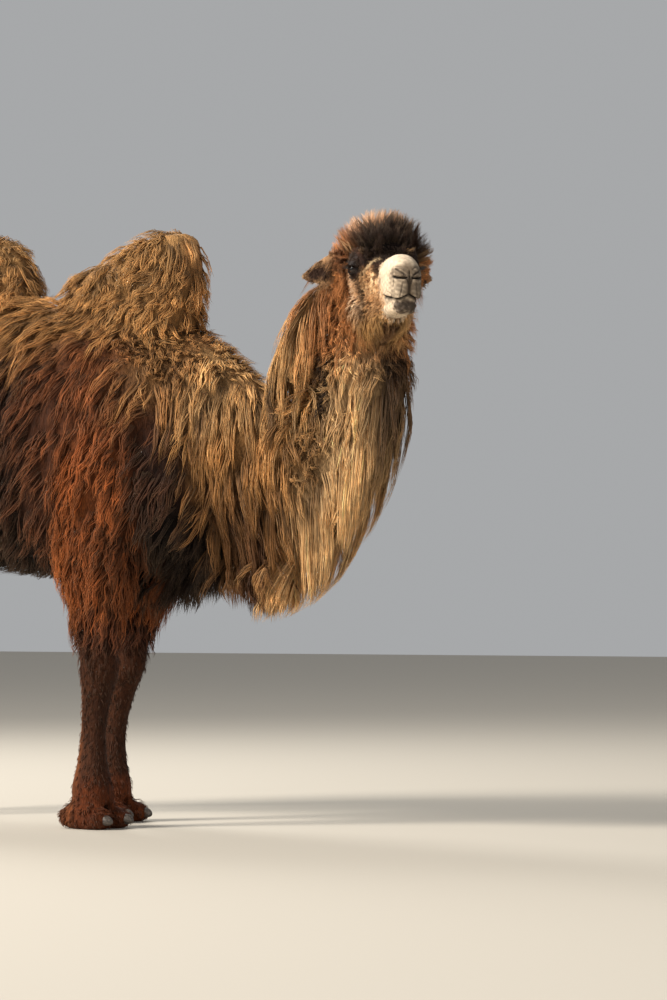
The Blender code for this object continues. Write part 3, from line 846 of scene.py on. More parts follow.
def legShares(x, y, z):
    # for each leg: how much of it each point belongs to, and how far behind its middle the point is
    for (kind, side), (footX, footY) in stance["feet"].items():
        lean = (stance["legRootX"][kind] - footX) * np.clip(z / stance["legRootZ"], 0, 1) ** 2
        ahead = x - (footX + lean + 0.06)
        flank = 1.2 * np.maximum(y * sideSign[side] - 0.30, 0)  # its colour keeps off the flank beside it
        own = soft(ahead, 0.24, 0.18) * soft(flank - ahead, 0.12, 0.06)
        own *= soft(z, 1.42, 1.22) * soft(y * sideSign[side], 0.02, 0.08)
        yield kind, own, -ahead


def bodyColours(colours, points):
    paint = partial(blendIn, colours)
    x, y, z = inBody(points).T
    patches = mottle(points, 0.22, 3)
    wander = z + 0.05 * patches
    fine = streaks(points, (-0.45, 0, -1), 0.035, 31)
    paint("rump", soft(x, -0.85, -1.15))
    paint("back", soft(wander, 1.48, 1.74))
    paint("humpTop", 0.8 * soft(wander, 1.80, 2.0))
    # the lower flank and belly: darker brown coat, darkened further as painted shade low on the body
    paint("bellyAndPaintedShade", soft(wander, 1.62, 1.40) * soft(x, -1.35, -1.0) * 0.92)
    shoulder = np.exp(-((x - 0.08) / 0.24) ** 2) * soft(np.abs(y), 0.10, 0.24)
    paint("shoulder", shoulder * soft(wander, 1.78, 1.62))
    tips = np.exp(-((x - 0.20 + 0.5 * (z - 1.6)) / 0.10) ** 2) * soft(wander, 1.30, 1.50)
    paint("shoulderTip", tips * (0.55 + 0.3 * patches))
    # painted shade on the chest between the forelegs and the throat's mane, dark brown above and near black
    # lower down, and under the body between the forelegs
    paint("upperChestPaintedShade", soft(x, 0.13, 0.25) * soft(z, 1.40, 1.28) * soft(x, 0.60, 0.45))
    paint("chest", soft(x, 0.13, 0.25) * soft(z, 1.16, 1.02) * soft(x, 0.60, 0.45))
    paint("chest", soft(z, 1.04, 0.94) * soft(np.abs(y), 0.20, 0.14) * soft(x, -0.3, -0.1))
    for kind, own, behind in legShares(x, y, z):
        paint("thigh" if kind == "fore" else "rump", own)
        # painted highlight on the back edge of each leg's upper part, strong on the forelegs and faint on
        # the hind legs
        edge = soft(behind, 0.01, 0.11) * soft(z, 1.25, 1.05)
        paint("thighPaintedHighlight", own * edge * (0.85 if kind == "fore" else 0.3))
        # painted shade on the front of each leg's upper part
        paint("bellyAndPaintedShade", own * soft(behind, -0.05, -0.14) * soft(z, 1.2, 1.0) * 0.55)
        paint("thighLow", own * soft(wander, 0.84, 0.68))
        paint("shin", own * soft(z, 0.68, 0.58))
        kneeZ = 0.56 if kind == "fore" else 0.68
        paint("knee", own * 0.6 * np.exp(-((z - kneeZ) / 0.05) ** 2))
        paint("foot", own * soft(z, 0.20, 0.12))
    paint("tail", soft(x, -1.33, -1.37))
    colours *= (1 + 0.22 * fine)[:, None]


def neckColours(colours, points):
    paint = partial(blendIn, colours)
    x, y, z = inBody(points).T
    onNeck = soft(x + 0.15 * (z - 1.3), 0.33, 0.43) * soft(z, 0.3, 0.5)
    wide = streaks(points, (0.05, 0, -1), 0.055, 41)
    thin = streaks(points, (0.05, 0, -1), 0.018, 42)
    paint("neck", onNeck)
    slant = x - 0.35 * (z - 0.95)
    paint("throat", onNeck * soft(slant, 0.60, 0.74) * soft(z, 0.70, 0.95))
    # painted shadow on the throat's mane: its lower rear part, where the body's shadow falls, and its lower
    # front
    low = soft(slant, 0.70, 0.54) * soft(z - 0.05 * mottle(points, 0.15, 43), 1.30, 1.02)
    paint("throatPaintedShadow", onNeck * np.maximum(low, soft(z - 0.6 * (x - 0.8), 0.95, 0.75) * 0.7))
    paint("throatPaintedShadow", onNeck * soft(x, 0.70, 0.80) * soft(z, 1.18, 0.92) * 0.45)
    paint("neckTop", onNeck * soft(z, 1.52, 1.68))
    # painted shade on the front of the upper neck, on its middle and left side
    shaded = soft(x, 0.97, 1.04) * soft(y, -0.11, -0.05)
    paint("throatShade", onNeck * shaded * (0.55 * soft(z, 0.95, 1.2) + 0.3 * soft(z, 1.40, 1.50)))
    nape = soft(x - 0.56 * (z - 1.51), 0.80, 0.76) * soft(z, 1.36, 1.44)
    gap = np.exp(-((x - 0.848) / 0.040) ** 2) * soft(z, 1.34, 1.42) * soft(z, 1.66, 1.58)
    curls = soft(np.hypot((x - 0.80) / 0.075, (z - 1.29) / 0.125), 1.15, 0.85)
    paint("curls", onNeck * curls)
    paint("nape", nape * onNeck)
    paint("napeLow", nape * onNeck * soft(z, 1.56, 1.40) * 0.6)
    # painted shade in the dark parting between the nape's mane and the throat's
    paint("napeGap", onNeck * gap)
    # painted shade: dark streaks between the mane's locks
    shade = 0.45 * soft(wide, 0.25, 1.0) + 0.40 * soft(thin, 0.3, 1.0)
    paint("maneShade", onNeck * (1 - curls) * shade)
    colours *= (1 + 0.20 * onNeck * np.clip(thin - wide, -1, 1))[:, None]


def headColours(colours, points):
    paint = partial(blendIn, colours)
    head = inHead(points)
    hx, hy, hz = head.T
    aside = np.abs(hy)
    onHead = soft(np.linalg.norm(head * [1, 1, 0.9] + [0.0, 0, 0.02], axis=1), 0.42, 0.34)
    onHead = onHead * soft(hz, -0.28, -0.19) * soft(hx, -0.28, -0.22)
    lines = streaks(head, (-0.3, 0, -1), 0.014, 51)
    flecks = mottle(head, 0.011, 52)
    paint("cheekBack", onHead)
    paint("cheek", onHead * soft(hx, -0.09, -0.05) * soft(hz, 0.03, -0.01))
    paint("cheekBack", onHead * soft(hx, -0.02, -0.10) * soft(hz, -0.10, -0.16) * 0.7)
    paint("beard", onHead * soft(hz, -0.13, -0.17) * soft(hx, -0.10, -0.02))
    paint("cheekDark", onHead * (0.5 * soft(lines, 0.2, 0.9)) * soft(hx, 0.15, 0.11))
    # painted shade in the middle under the chin
    paint("beardPaintedShade", onHead * soft(hz, -0.165, -0.19) * soft(aside, 0.055, 0.025) * 0.85)
    onCheek = onHead * soft(aside, 0.04, 0.06) * soft(hz, 0.02, -0.01) * soft(hz, -0.17, -0.12)
    stripe = np.exp(-((hx + 0.048 + 0.1 * hz) / 0.030) ** 2)
    paint("cheekStripe", onCheek * stripe * (0.9 - 0.2 * np.clip(lines, 0, 1)))
    paint("cheekDark", onCheek * np.exp(-((hx + 0.094 + 0.1 * hz) / 0.011) ** 2) * 0.9)
    bright = soft(np.hypot((hx - 0.088) / 0.045, (hz + 0.055) / 0.032), 1.2, 0.7)
    paint("cheekLight", onHead * bright * soft(aside, 0.03, 0.05) * soft(flecks, 0.0, 0.4))
    paint("cheekDark", onHead * bright * soft(flecks, -0.3, -0.7) * 0.8)
    paint("cheekStripe", onHead * np.exp(-((hx - 0.152) / 0.014) ** 2) * soft(hz, -0.03, -0.05) * 0.8)
    paint("crown", onHead * soft(hz + 0.25 * hx, 0.0, 0.035))
    # painted light: the crown's right side lighter and redder, as its lit side
    paint("crownPaintedLitSide", onHead * soft(hy, -0.05, -0.10) * soft(hz, -0.01, 0.03) * soft(hx, 0.0, -0.04))
    onTop = soft(hz - 0.1 * hy, 0.070, 0.105) * soft(hx, 0.03, -0.03)
    paint("crownTop", onHead * onTop * (0.8 + 0.3 * lines))
    front = soft(hx, -0.045, 0.0) * soft(aside, 0.105, 0.07) * soft(hz, 0.0, 0.02) * soft(hz, 0.15, 0.10)
    # the dark forehead; the second term is painted shade on the crown's left side
    paint("forehead", onHead * np.maximum(front, 0.8 * soft(hy, 0.02, 0.08) * soft(hz, 0.02, 0.05)))
    paint("forehead", onHead * soft(hx, 0.01, 0.05) * soft(hz, -0.015, 0.02) * soft(hx, 0.16, 0.12))
    paint("eyePatch", onHead * 0.8 * soft(lineGap(head, "tear stain"), 0.020, 0.008))
    # painted shade in the hollow beside the face's ridge
    paint("eyePatch", onHead * 0.9 * soft(lineGap(head, "face hollow"), 0.018, 0.008))
    onSide = soft(aside, 0.04, 0.06) * onHead
    patch = np.hypot((hx + 0.004) / 0.056, (hz - 0.012) / 0.044)
    paint("eyePatch", onSide * soft(patch, 1.15, 0.90))
    arch = soft(np.abs(patch - 1.30), 0.20, 0.08) * soft(hz, 0.0, 0.025) * soft(hz, 0.068, 0.060)
    paint("brow", onHead * arch * soft(aside, 0.055, 0.070) * 0.9)
    # painted highlight along the ridge of the face
    paint("cheekLight", onHead * 0.6 * soft(lineGap(head, "face ridge"), 0.010, 0.004))
    for side in sideSign:
        radius, _, along, high, facing = eyeAngles(head, side)
        onLid = soft(radius, 0.052, 0.044) * (facing > 0)
        paint("lid", onLid * soft(lidGap(along, high), 32, 12))
    shading = (1 - soft(hx, 0.13, 0.17)) * onHead
    colours *= (1 + 0.28 * lines * shading)[:, None]
    muzzleColours(colours, points, head, onHead)
    for side, reach in earReach.items():
        gap, along = nearLine(head, [(x0, y0 * sideSign[side] * reach, z0) for x0, y0, z0, *_ in earRows])
        onEar = soft(gap, 0.075, 0.062) * soft(hy * sideSign[side], 0.13, 0.15) * soft(hx, -0.10, -0.13)
        paint("ear", onEar)
        ahead = soft(hx + 0.25 * (hy * sideSign[side]), -0.147, -0.135)
        paint("earInside", onEar * ahead * soft(gap + 0.012 * along, 0.040, 0.026))
        paint("earRim", onEar * soft(along, 0.8, 0.95) * 0.7)
        paint("earRim", onEar * soft(gap, 0.024, 0.034) * soft(along, 0.3, 0.6) * 0.6)


creaseShadeColours = (  # painted shade in the muzzle's slits and creases: each line's name and colour, how far it reaches and how strong it is
    ("nostril slit", "lip", 0.010, 0.5),
    ("nostril slit", "nostril", 0.0048, 1.0),
    ("nostril crease", "lip", 0.0045, 0.9),
    ("mouth", "lip", 0.010, 0.85),
    ("bulb crease", "lip", 0.003, 0.5),
    ("chin crease", "lip", 0.004, 0.6),
    ("mouth", "nostril", 0.0048, 1.0),
    ("lip groove", "lip", 0.009, 0.6),
    ("lip groove", "nostril", 0.0036, 0.4),
    ("nose middle", "nostril", 0.0035, 0.6),
    ("nostril groove", "lip", 0.005, 0.8),
    ("lip wrinkle", "lip", 0.0035, 0.5),
    ("lip wrinkle back", "lip", 0.0035, 0.4),
)


def muzzleColours(colours, points, head, onHead):
    paint = partial(blendIn, colours)
    hx, hy, hz = head.T
    aside = np.abs(hy)
    # the bare skin starts further forward on the side than on the bridge of the nose and the jaw
    edge = hx + 0.008 * mottle(points, 0.03, 8)
    edge += 0.02 * soft(hz, -0.13, -0.15) - 0.035 * soft(hz, -0.01, -0.10)
    muzzle = onHead * soft(edge, 0.125, 0.142) * soft(hz, -0.186, -0.174)
    paint("muzzle", muzzle)
    spots = mottle(points, 0.010, 9) + 0.6 * mottle(points, 0.025, 10)
    fore = soft(hx, 0.235, 0.30)
    paint("muzzleGrey", muzzle * fore * soft(hz, -0.015, -0.045) * (0.72 + 0.35 * spots))
    paint("muzzleGrey", muzzle * (0.15 + 0.35 * np.clip(spots, -0.4, 1)) * soft(hz, -0.02, -0.09))
    bulb = np.hypot((aside - 0.020) / 0.032, (hz + 0.043) / 0.023)
    paint("nose", muzzle * soft(bulb, 1.3, 0.7) * soft(hx, 0.26, 0.30) * (0.75 + 0.2 * spots))
    # painted shade: the muzzle's left half darker
    paint("lip", muzzle * fore * soft(hy, 0.0, 0.035) * 0.6)
    middle = soft(aside, 0.018, 0.006) * soft(hx, 0.29, 0.32)
    paint("nose", muzzle * middle * soft(hz, -0.14, -0.11) * 0.75)
    paint("chin", muzzle * soft(hz, -0.125, -0.14) * fore * (0.85 + 0.3 * spots))
    # the lower lip's dark skin, darker still as painted shade under the upper lip
    lowerLipSkinAndShade = soft(hz, -0.134, -0.141) * soft(hz, -0.170, -0.152) * soft(hx, 0.250, 0.285)
    paint("lip", muzzle * lowerLipSkinAndShade * soft(aside, 0.040, 0.024) * 0.95)
    # painted shade in the slits and creases
    for name, colour, reach, share in creaseShadeColours:
        paint(colour, muzzle * share * soft(lineGap(head, name), reach, reach * 0.35))


def markingsAndPaintedShading(points):
    # the animal's colours at points of the model, with painted light and shade among them
    colours = np.tile(coatColours["flank"], (len(points), 1))
    bodyColours(colours, points)
    neckColours(colours, points)
    headColours(colours, points)
    return np.clip(colours * (1 + 0.09 * mottle(points, 0.09, 5))[:, None], 0, 1)


def bareness(points):
    # 1 on the bare skin of the muzzle, 0 where short hair covers the skin
    head = inHead(points)
    return soft(head[:, 0], 0.15, 0.19) * soft(np.linalg.norm(head, axis=1), 0.42, 0.38)


facePaths = {}


def makeSkin():
    bm = bmesh.new()
    for form in forms:
        addForm(bm, form)
    for (x, y, z), radii in softForms:
        for sign in (-1, 1):
            place = headPlace @ Matrix.Translation((x, y * sign, z)) @ Matrix.Diagonal((*radii, 1.0))
            bmesh.ops.create_uvsphere(bm, u_segments=24, v_segments=14, radius=1.0, matrix=place)
    mesh = fuse(bm, "skin", skinShape["voxel"], skinShape["smoothing"], zoom=True)
    mesh = thinUnderCoat(mesh)
    refineFace(mesh)
    facePaths.update(layOnFace(mesh))
    uncut = pointsOf(mesh)
    shapeFace(mesh)
    points = pointsOf(mesh)
    woolly = soft(np.linalg.norm(inHead(points), axis=1), 0.36, 0.46) * soft(points[:, 2], 0.60, 0.80)
    matted = mottle(points, 0.05, 61) * 0.006 * woolly  # the wool mats unevenly under the long coat
    points += normalsOf(mesh) * matted[:, None]
    points[:, 2] = np.maximum(points[:, 2], 0.0)  # level soles
    setPoints(mesh, points)
    print("skin:", len(mesh.polygons), "faces")
    return mesh, uncut


def makeHull():
    # one surface round the solids of flesh, which the tips of the coat reach
    bm = bmesh.new()
    for name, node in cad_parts.items():
        if not name.startswith(("eye", "toenail")):
            bm.from_mesh(node.data)
    bmesh.ops.remove_doubles(bm, verts=bm.verts, dist=0.00001)
    return fuse(bm, "hull", skinShape["hullVoxel"], 0)


skinMesh, uncutPoints = makeSkin()  # the uncut points carry the colours of slits and lids
hullMesh = makeHull()
skinPoints = pointsOf(skinMesh)
skinNormals = normalsOf(skinMesh)
skinMesh.calc_loop_triangles()
triangleCorners = np.empty(len(skinMesh.loop_triangles) * 3, dtype=np.int32)
skinMesh.loop_triangles.foreach_get("vertices", triangleCorners)
triangleCorners = triangleCorners.reshape(-1, 3)
skinTree = BVHTree.FromPolygons([Vector(p) for p in skinPoints], triangleCorners.tolist())
hullMesh.calc_loop_triangles()
hullTree = BVHTree.FromPolygons([v.co for v in hullMesh.vertices],
                                [tuple(t.vertices) for t in hullMesh.loop_triangles])
print("hull:", len(hullMesh.polygons), "faces")


def placeOnForm(form, points):
    # how far along a form and round it each point is, both 0 to 1, and how far out against its radius
    centres = form["centres"]
    gaps = ((points[:, None] - centres[None]) ** 2).sum(-1)
    index = gaps.argmin(1)
    before = np.clip(index - 1, 0, len(centres) - 1)
    after = np.clip(index + 1, 0, len(centres) - 1)
    span = centres[after] - centres[before]
    fraction = ((points - centres[index]) * span).sum(1) / np.maximum((span * span).sum(1), 1e-9)
    along = (index + fraction * (after - before)) / (len(centres) - 1)
    away = points - centres[index]
    wide = (away * form["across"][index]).sum(1)
    high = (away * form["upward"][index]).sum(1)
    beyond = np.maximum(np.sqrt(gaps.min(1)) - np.hypot(wide, high), 0)
    radius = form["radii"][index]
    out = np.hypot(wide / radius[:, 0], high / radius[:, 1]) + 4 * beyond * ((along < 0) | (along > 1))
    around = np.arctan2(high, wide) / (2 * math.pi) + 0.5
    return along, around, out, unit(span)


triangleMiddles = skinPoints[triangleCorners].mean(1)
edgeA = skinPoints[triangleCorners[:, 1]] - skinPoints[triangleCorners[:, 0]]
edgeB = skinPoints[triangleCorners[:, 2]] - skinPoints[triangleCorners[:, 0]]
triangleAreas = np.linalg.norm(np.cross(edgeA, edgeB), axis=1) / 2
formOfTriangle = np.zeros(len(triangleMiddles), dtype=int)
bestOut = np.full(len(triangleMiddles), 1e9)
for number, form in enumerate(forms):
    _, _, out, _ = placeOnForm(form, triangleMiddles)
    misfit = np.abs(out - 1)
    closer = misfit < bestOut
    bestOut[closer] = misfit[closer]
    formOfTriangle[closer] = number
print("skin area:", round(float(triangleAreas.sum()), 2), "square metres")


coatRules = {
    "tries": 3,  # places drawn for each tuft that is wanted
    "crowding": 0.62,  # the closest that tufts stand, as a share of an even spacing
    "rootDepth": 0.004,  # how far inside the skin a tuft's middle line starts
    "hairLengths": (0.6, 1.0),  # of the tuft's length
    "hairWidths": (0.65, 1.35),
    "hairWaves": (0.75, 1.3),
    "slimming": 0.75,  # share of its width that a hair loses towards its tip
    "flatness": 0.30,  # height of a tuft's body against its width
    "tallest": 0.8,  # the most that a tuft stands off the skin, as a share of its length
    "bakePatch": 0.003,  # side of a tuft's patch on the bake map
}


def pickRoots(weights, count, rng):
    # evenly scattered places on the skin: index of the triangle, point, outward direction
    weights = triangleAreas * weights
    area = weights.sum()
    chosen = rng.choice(len(weights), size=int(count * coatRules["tries"]), p=weights / area)
    a = np.sqrt(rng.random(len(chosen)))[:, None]
    b = rng.random(len(chosen))[:, None]
    corners = triangleCorners[chosen]
    share = (1 - a, a * (1 - b), a * b)
    points = sum(s * skinPoints[corners[:, i]] for i, s in enumerate(share))
    outward = unit(sum(s * skinNormals[corners[:, i]] for i, s in enumerate(share)))
    cell = math.sqrt(area / count) * coatRules["crowding"]
    _, first = np.unique(np.floor(points / cell).astype(int), axis=0, return_index=True)
    kept = rng.permutation(first)[:count]
    return chosen[kept], points[kept], outward[kept]


def roomAbove(points, outward):
    # how far the coat may stand off the skin before it meets the solids' surface
    room = np.empty(len(points))
    for i, (point, normal) in enumerate(zip(points, outward)):
        hit = hullTree.ray_cast(Vector(point - normal * 0.002), Vector(normal), 0.2)
        room[i] = hit[3] - 0.002 if hit[0] is not None else 0.01
    return np.clip(room, 0.002, 0.2)


def dropBelow(points):
    # how far locks may hang down before they leave the solids; those that follow the neck may hang further
    drop = np.empty(len(points))
    for i, point in enumerate(points):
        hit = hullTree.ray_cast(Vector(point), Vector((0, 0, -1)), 1.0)
        drop[i] = hit[3] if hit[0] is not None else 0.2
    body = inBody(points)
    return drop + 0.9 * np.maximum(body[:, 2] - 1.06, 0) + 0.5 * soft(body[:, 0], 0.66, 0.82)


def layGuides(roots, outward, lie, length, rise, coat):
    # the middle line of each tuft: it leaves the skin, follows the lie and falls with its own weight
    steps = coat["steps"]
    count = len(roots)
    lines = np.zeros((count, steps + 1, 3))
    ups = np.zeros((count, steps + 1, 3))
    lines[:, 0] = roots - outward * coatRules["rootDepth"]
    ups[:, 0] = outward
    place = roots.copy()
    heading = unit(lie + outward * coat["lift"])
    down = np.array([0, 0, -1.0])
    for step in range(1, steps + 1):
        share = step / steps
        heading = unit(heading + down * coat["hang"] * share)
        place = place + heading * (length / steps)[:, None]
        near, normal = closest(skinTree, place)
        height = rise * share ** coat["swell"]
        gap = dots(place - near, normal)[:, 0]
        pull = np.where(gap < height, 1.0, coat["stick"])
        away = unit(np.where(gap[:, None] > 0.004, place - near, normal))
        place = place + (near + away * height[:, None] - place) * pull[:, None]
        edge, facing = closest(hullTree, place)
        over = dots(place - edge, facing)
        place = place - facing * np.maximum(over - coat["proud"], 0)
        place[:, 2] = np.maximum(place[:, 2], 0.004)
        into = np.minimum(dots(heading, away), 0)
        heading = unit(heading - away * into)
        lines[:, step] = place
        ups[:, step] = unit(away + 0.15 * outward)
    return lines, ups


def pickAlong(lines, share):
    # points on each line at shares 0 to 1 of its length
    last = lines.shape[-2] - 1
    spot = np.clip(share, 0, 1) * last
    low = np.minimum(spot.astype(int), last - 1)
    part = (spot - low)[..., None]
    picked = np.take_along_axis(lines, low[..., None], axis=-2)
    return picked + (np.take_along_axis(lines, low[..., None] + 1, axis=-2) - picked) * part


def plantTufts(coat, rng):
    # the tufts' roots, their outward directions and their forms', and their places on the bake map
    names = sorted(coat["forms"] or {form["name"] for form in forms})
    covered = np.isin(formOfTriangle, [i for i, form in enumerate(forms) if form["name"] in names])
    weights = covered * np.clip(coat["where"](triangleMiddles), 0, 1)
    wanted = max(coat["tufts"] // (1), 10)
    chosen, roots, outward = pickRoots(weights, wanted, rng)
    spans = np.zeros((len(roots), 3))
    atlas = np.zeros((len(roots), 2))
    for number in np.unique(formOfTriangle[chosen]):
        own = formOfTriangle[chosen] == number
        along, around, _, span = placeOnForm(forms[number], roots[own])
        spans[own] = span
        column = names.index(forms[number]["name"])
        atlas[own, 0] = (column + 0.04 + 0.92 * np.clip(around, 0, 1)) / len(names)
        atlas[own, 1] = 0.02 + 0.95 * np.clip(along, 0, 1)
    return roots, outward, spans, atlas


def combTufts(coat, roots, outward, spans, rng):
    # each tuft's middle line, from its lie with some swirl, its length and how far it stands off
    count = len(roots)
    swirl = coat["swirl"] * (mottle(roots, 0.12, coat["seed"] + 1) + 0.5 * rng.normal(size=count))
    lie = coat["lie"](roots, outward, spans)
    lie = unit(lie - outward * dots(lie, outward))
    lie = lie * np.cos(swirl)[:, None] + np.cross(outward, lie) * np.sin(swirl)[:, None]
    length = coat["length"] * (1 + coat["uneven"] * rng.uniform(-1, 1, count))
    if "lengthAt" in coat:
        length = length * coat["lengthAt"](roots)
    if "overhang" in coat:
        length = np.minimum(length, dropBelow(roots) + coat["overhang"])
    rise = roomAbove(roots, outward) * rng.uniform(*coat["rise"], count)
    rise = np.minimum(rise, length * coatRules["tallest"])
    return layGuides(roots, outward, lie, length, rise, coat)


def splitHairs(coat, lines, ups, rng):
    # every hair's middle line and its side and upward directions; a tuft's hairs draw together at the tip
    tufts, hairs = len(lines), coat["hairs"]
    each, turn = (tufts, hairs, 1), 2 * math.pi
    share = np.linspace(0, 1, coat["rings"] + 1)[None, None] * rng.uniform(*coatRules["hairLengths"], each)
    middle = pickAlong(np.broadcast_to(lines[:, None], (tufts, hairs) + lines.shape[1:]), share)
    up = pickAlong(np.broadcast_to(ups[:, None], (tufts, hairs) + ups.shape[1:]), share)
    heading = unit(np.gradient(middle, axis=2))
    side = unit(np.cross(heading, up))
    up = unit(np.cross(side, heading))
    angle = rng.uniform(0, turn, each)
    apart = coat["clump"] * np.sqrt(rng.random(each))
    drawn = 1 + (coat["tipDraw"] - 1) * share ** 1.3
    aside = apart * np.cos(angle) * drawn
    forward = apart * np.sin(angle) * (1 - share)
    above = apart * np.sin(angle) * coatRules["flatness"] * drawn * np.minimum(share * 3, 1)
    phase = rng.uniform(0, turn, (tufts, 1, 1)) + rng.normal(0, 0.5, each)
    waves = coat["waves"] * rng.uniform(*coatRules["hairWaves"], (tufts, 1, 1))
    sway = coat["wave"] * np.minimum(share * 2.5, 1)
    aside = aside + sway * np.sin(turn * waves * share + phase)
    above = above + 0.7 * sway * (np.cos(turn * waves * share + phase) - np.cos(phase))
    middle = middle + side * aside[..., None] + up * above[..., None]
    middle = middle + heading[:, :, :1] * forward[..., None]
    middle[..., 2] = np.maximum(middle[..., 2], 0.003)
    return middle, side, up


def hairFaces(rings):
    # triangles of one three-sided hair: a cap at the root, its sides and a point at the tip
    faces = [(0, 1, 2)]
    for ring in range(rings - 1):
        for k in range(3):
            a, b = ring * 3 + k, ring * 3 + (k + 1) % 3
            faces += [(b, a, a + 3), (b, a + 3, b + 3)]
    for k in range(3):
        faces.append(((rings - 1) * 3 + (k + 1) % 3, (rings - 1) * 3 + k, rings * 3))
    return np.array(faces)


def hairMesh(name, coat, middle, side, up, rng):
    rings = coat["rings"]
    count = middle.shape[0] * middle.shape[1]
    taper = 1 - coatRules["slimming"] * np.linspace(0, 1, rings + 1) ** 1.6
    half = coat["width"] / 2 * rng.uniform(*coatRules["hairWidths"], (*middle.shape[:2], 1))
    half = (half * taper[None, None])[..., None]
    corners = np.stack([middle + side * half, middle - side * half, middle + up * half * 0.7], axis=3)
    body = corners[:, :, :rings].reshape(count, rings * 3, 3)
    points = np.concatenate([body, middle[:, :, rings].reshape(count, 1, 3)], axis=1)
    triangles = (hairFaces(rings)[None] + np.arange(count)[:, None, None] * (rings * 3 + 1)).reshape(-1, 3)
    return triangleMesh(name, points.reshape(-1, 3), triangles), triangles


def paintHairs(mesh, coat, roots, ringShare, rng):
    # colours come from the root, with each tuft and hair a little lighter or darker
    each = (len(roots), coat["hairs"], 1)
    count = each[0] * each[1]
    tone = markingsAndPaintedShading(roots) * np.exp(coat["toneTufts"] * rng.normal(size=(len(roots), 1)))
    tone = tone[:, None] * np.exp(coat["toneHairs"] * rng.normal(size=each))
    tone = tone * (1 + 0.06 * rng.normal(size=each) * np.array([1.0, 0.2, -0.9]))
    addColours(mesh, "markingsAndPaintedShading", np.repeat(np.clip(tone.reshape(count, 3), 0, 1), len(ringShare), axis=0))
    addFloats(mesh, "along", np.tile(ringShare, count))
    fibre = np.append(np.tile([-1.0, 1.0, 0.0], coat["rings"]), 0.0)[None] + rng.uniform(0, 400, (count, 1))
    addFloats(mesh, "fibre", fibre.ravel())


def mapHairs(mesh, coat, atlas, ringShare, triangles):
    # each tuft is one small patch of the bake map, at its root's place on the forms' unwrap
    hairs, patch = coat["hairs"], coatRules["bakePatch"]
    column = (np.arange(len(atlas) * hairs) % hairs + 0.5) / hairs
    corner = np.append(np.tile([-0.3, 0.3, 0.0], coat["rings"]), 0.0) / hairs
    u = np.repeat(atlas[:, 0], hairs)[:, None] + patch * (column[:, None] - 0.5 + corner[None])
    v = np.repeat(atlas[:, 1], hairs)[:, None] + patch * (ringShare[None] - 0.5)
    uv = np.stack([u, v], axis=2).reshape(-1, 2)
    layer = mesh.uv_layers.new(name="OFBake")
    layer.data.foreach_set("uv", uv[triangles.ravel()].astype(np.float32).ravel())


def growCoat(name, coat):
    # tufts of thin tapering hairs over the forms that the coat covers, as one mesh
    rng = np.random.default_rng(coat["seed"])
    rings = coat["rings"]
    roots, outward, spans, atlas = plantTufts(coat, rng)
    lines, ups = combTufts(coat, roots, outward, spans, rng)
    middle, side, up = splitHairs(coat, lines, ups, rng)
    mesh, triangles = hairMesh(name, coat, middle, side, up, rng)
    ringShare = np.append(np.repeat(np.linspace(0, 1, rings + 1)[:rings], 3), 1.0)
    paintHairs(mesh, coat, roots, ringShare, rng)
    mapHairs(mesh, coat, atlas, ringShare, triangles)
    print(f"{name}: {len(roots)} tufts, {len(triangles)} triangles")
    return mesh


def everywhere(points):
    return np.ones(len(points))


def downAndBack(roots, outward, spans):
    return np.tile([-0.45, 0.0, -1.0], (len(roots), 1))


def straightDown(roots, outward, spans):
    return np.tile([0.0, 0.0, -1.0], (len(roots), 1)) + 0.15 * outward


def downTheNeck(roots, outward, spans):
    # off the nape to both sides, then down
    return np.array([0.12, 0, -1.0]) + outward * [0, 0.5, 0]


def intoTheCurtain(roots, outward, spans):
    # the throat's locks gather below the middle of the neck
    ahead = 0.64 - inBody(roots)[:, 0]
    return np.stack([0.30 * ahead, 0 * ahead, 0 * ahead - 1.0], axis=1) + 0.12 * outward


def offTheHump(roots, outward, spans):
    return np.array([-0.35, 0, -0.9]) + outward * [0.3, 0.5, 0.2]


def upFromBrow(roots, outward, spans):
    # a mop: up on top, out at the sides and down over the ears
    head = inHead(roots)
    rising = np.clip((head[:, 2:3] - 0.01) * 14, -0.9, 0.9)
    return outward * 0.5 + headAxes[2] * rising - headAxes[0] * 0.25


def backOverFace(roots, outward, spans):
    return -headAxes[0] * 1.0 - headAxes[2] * 0.35


def downTheBeard(roots, outward, spans):
    return -headAxes[2] * 1.0 - headAxes[0] * 0.25


def awayFromEye(roots, outward, spans):
    # back and outwards round each eye, as short brow hair grows
    head = inHead(roots)
    away = head - np.sign(head[:, 1:2]) * [0, stance["eyeSpread"], 0]
    return unit(away) @ headAxes - headAxes[0] * 0.8


def towardsEarTip(roots, outward, spans):
    return spans


def outFromEar(roots, outward, spans):
    return spans * 0.6 + headAxes[2] * np.sign(outward @ headAxes[2])[:, None]


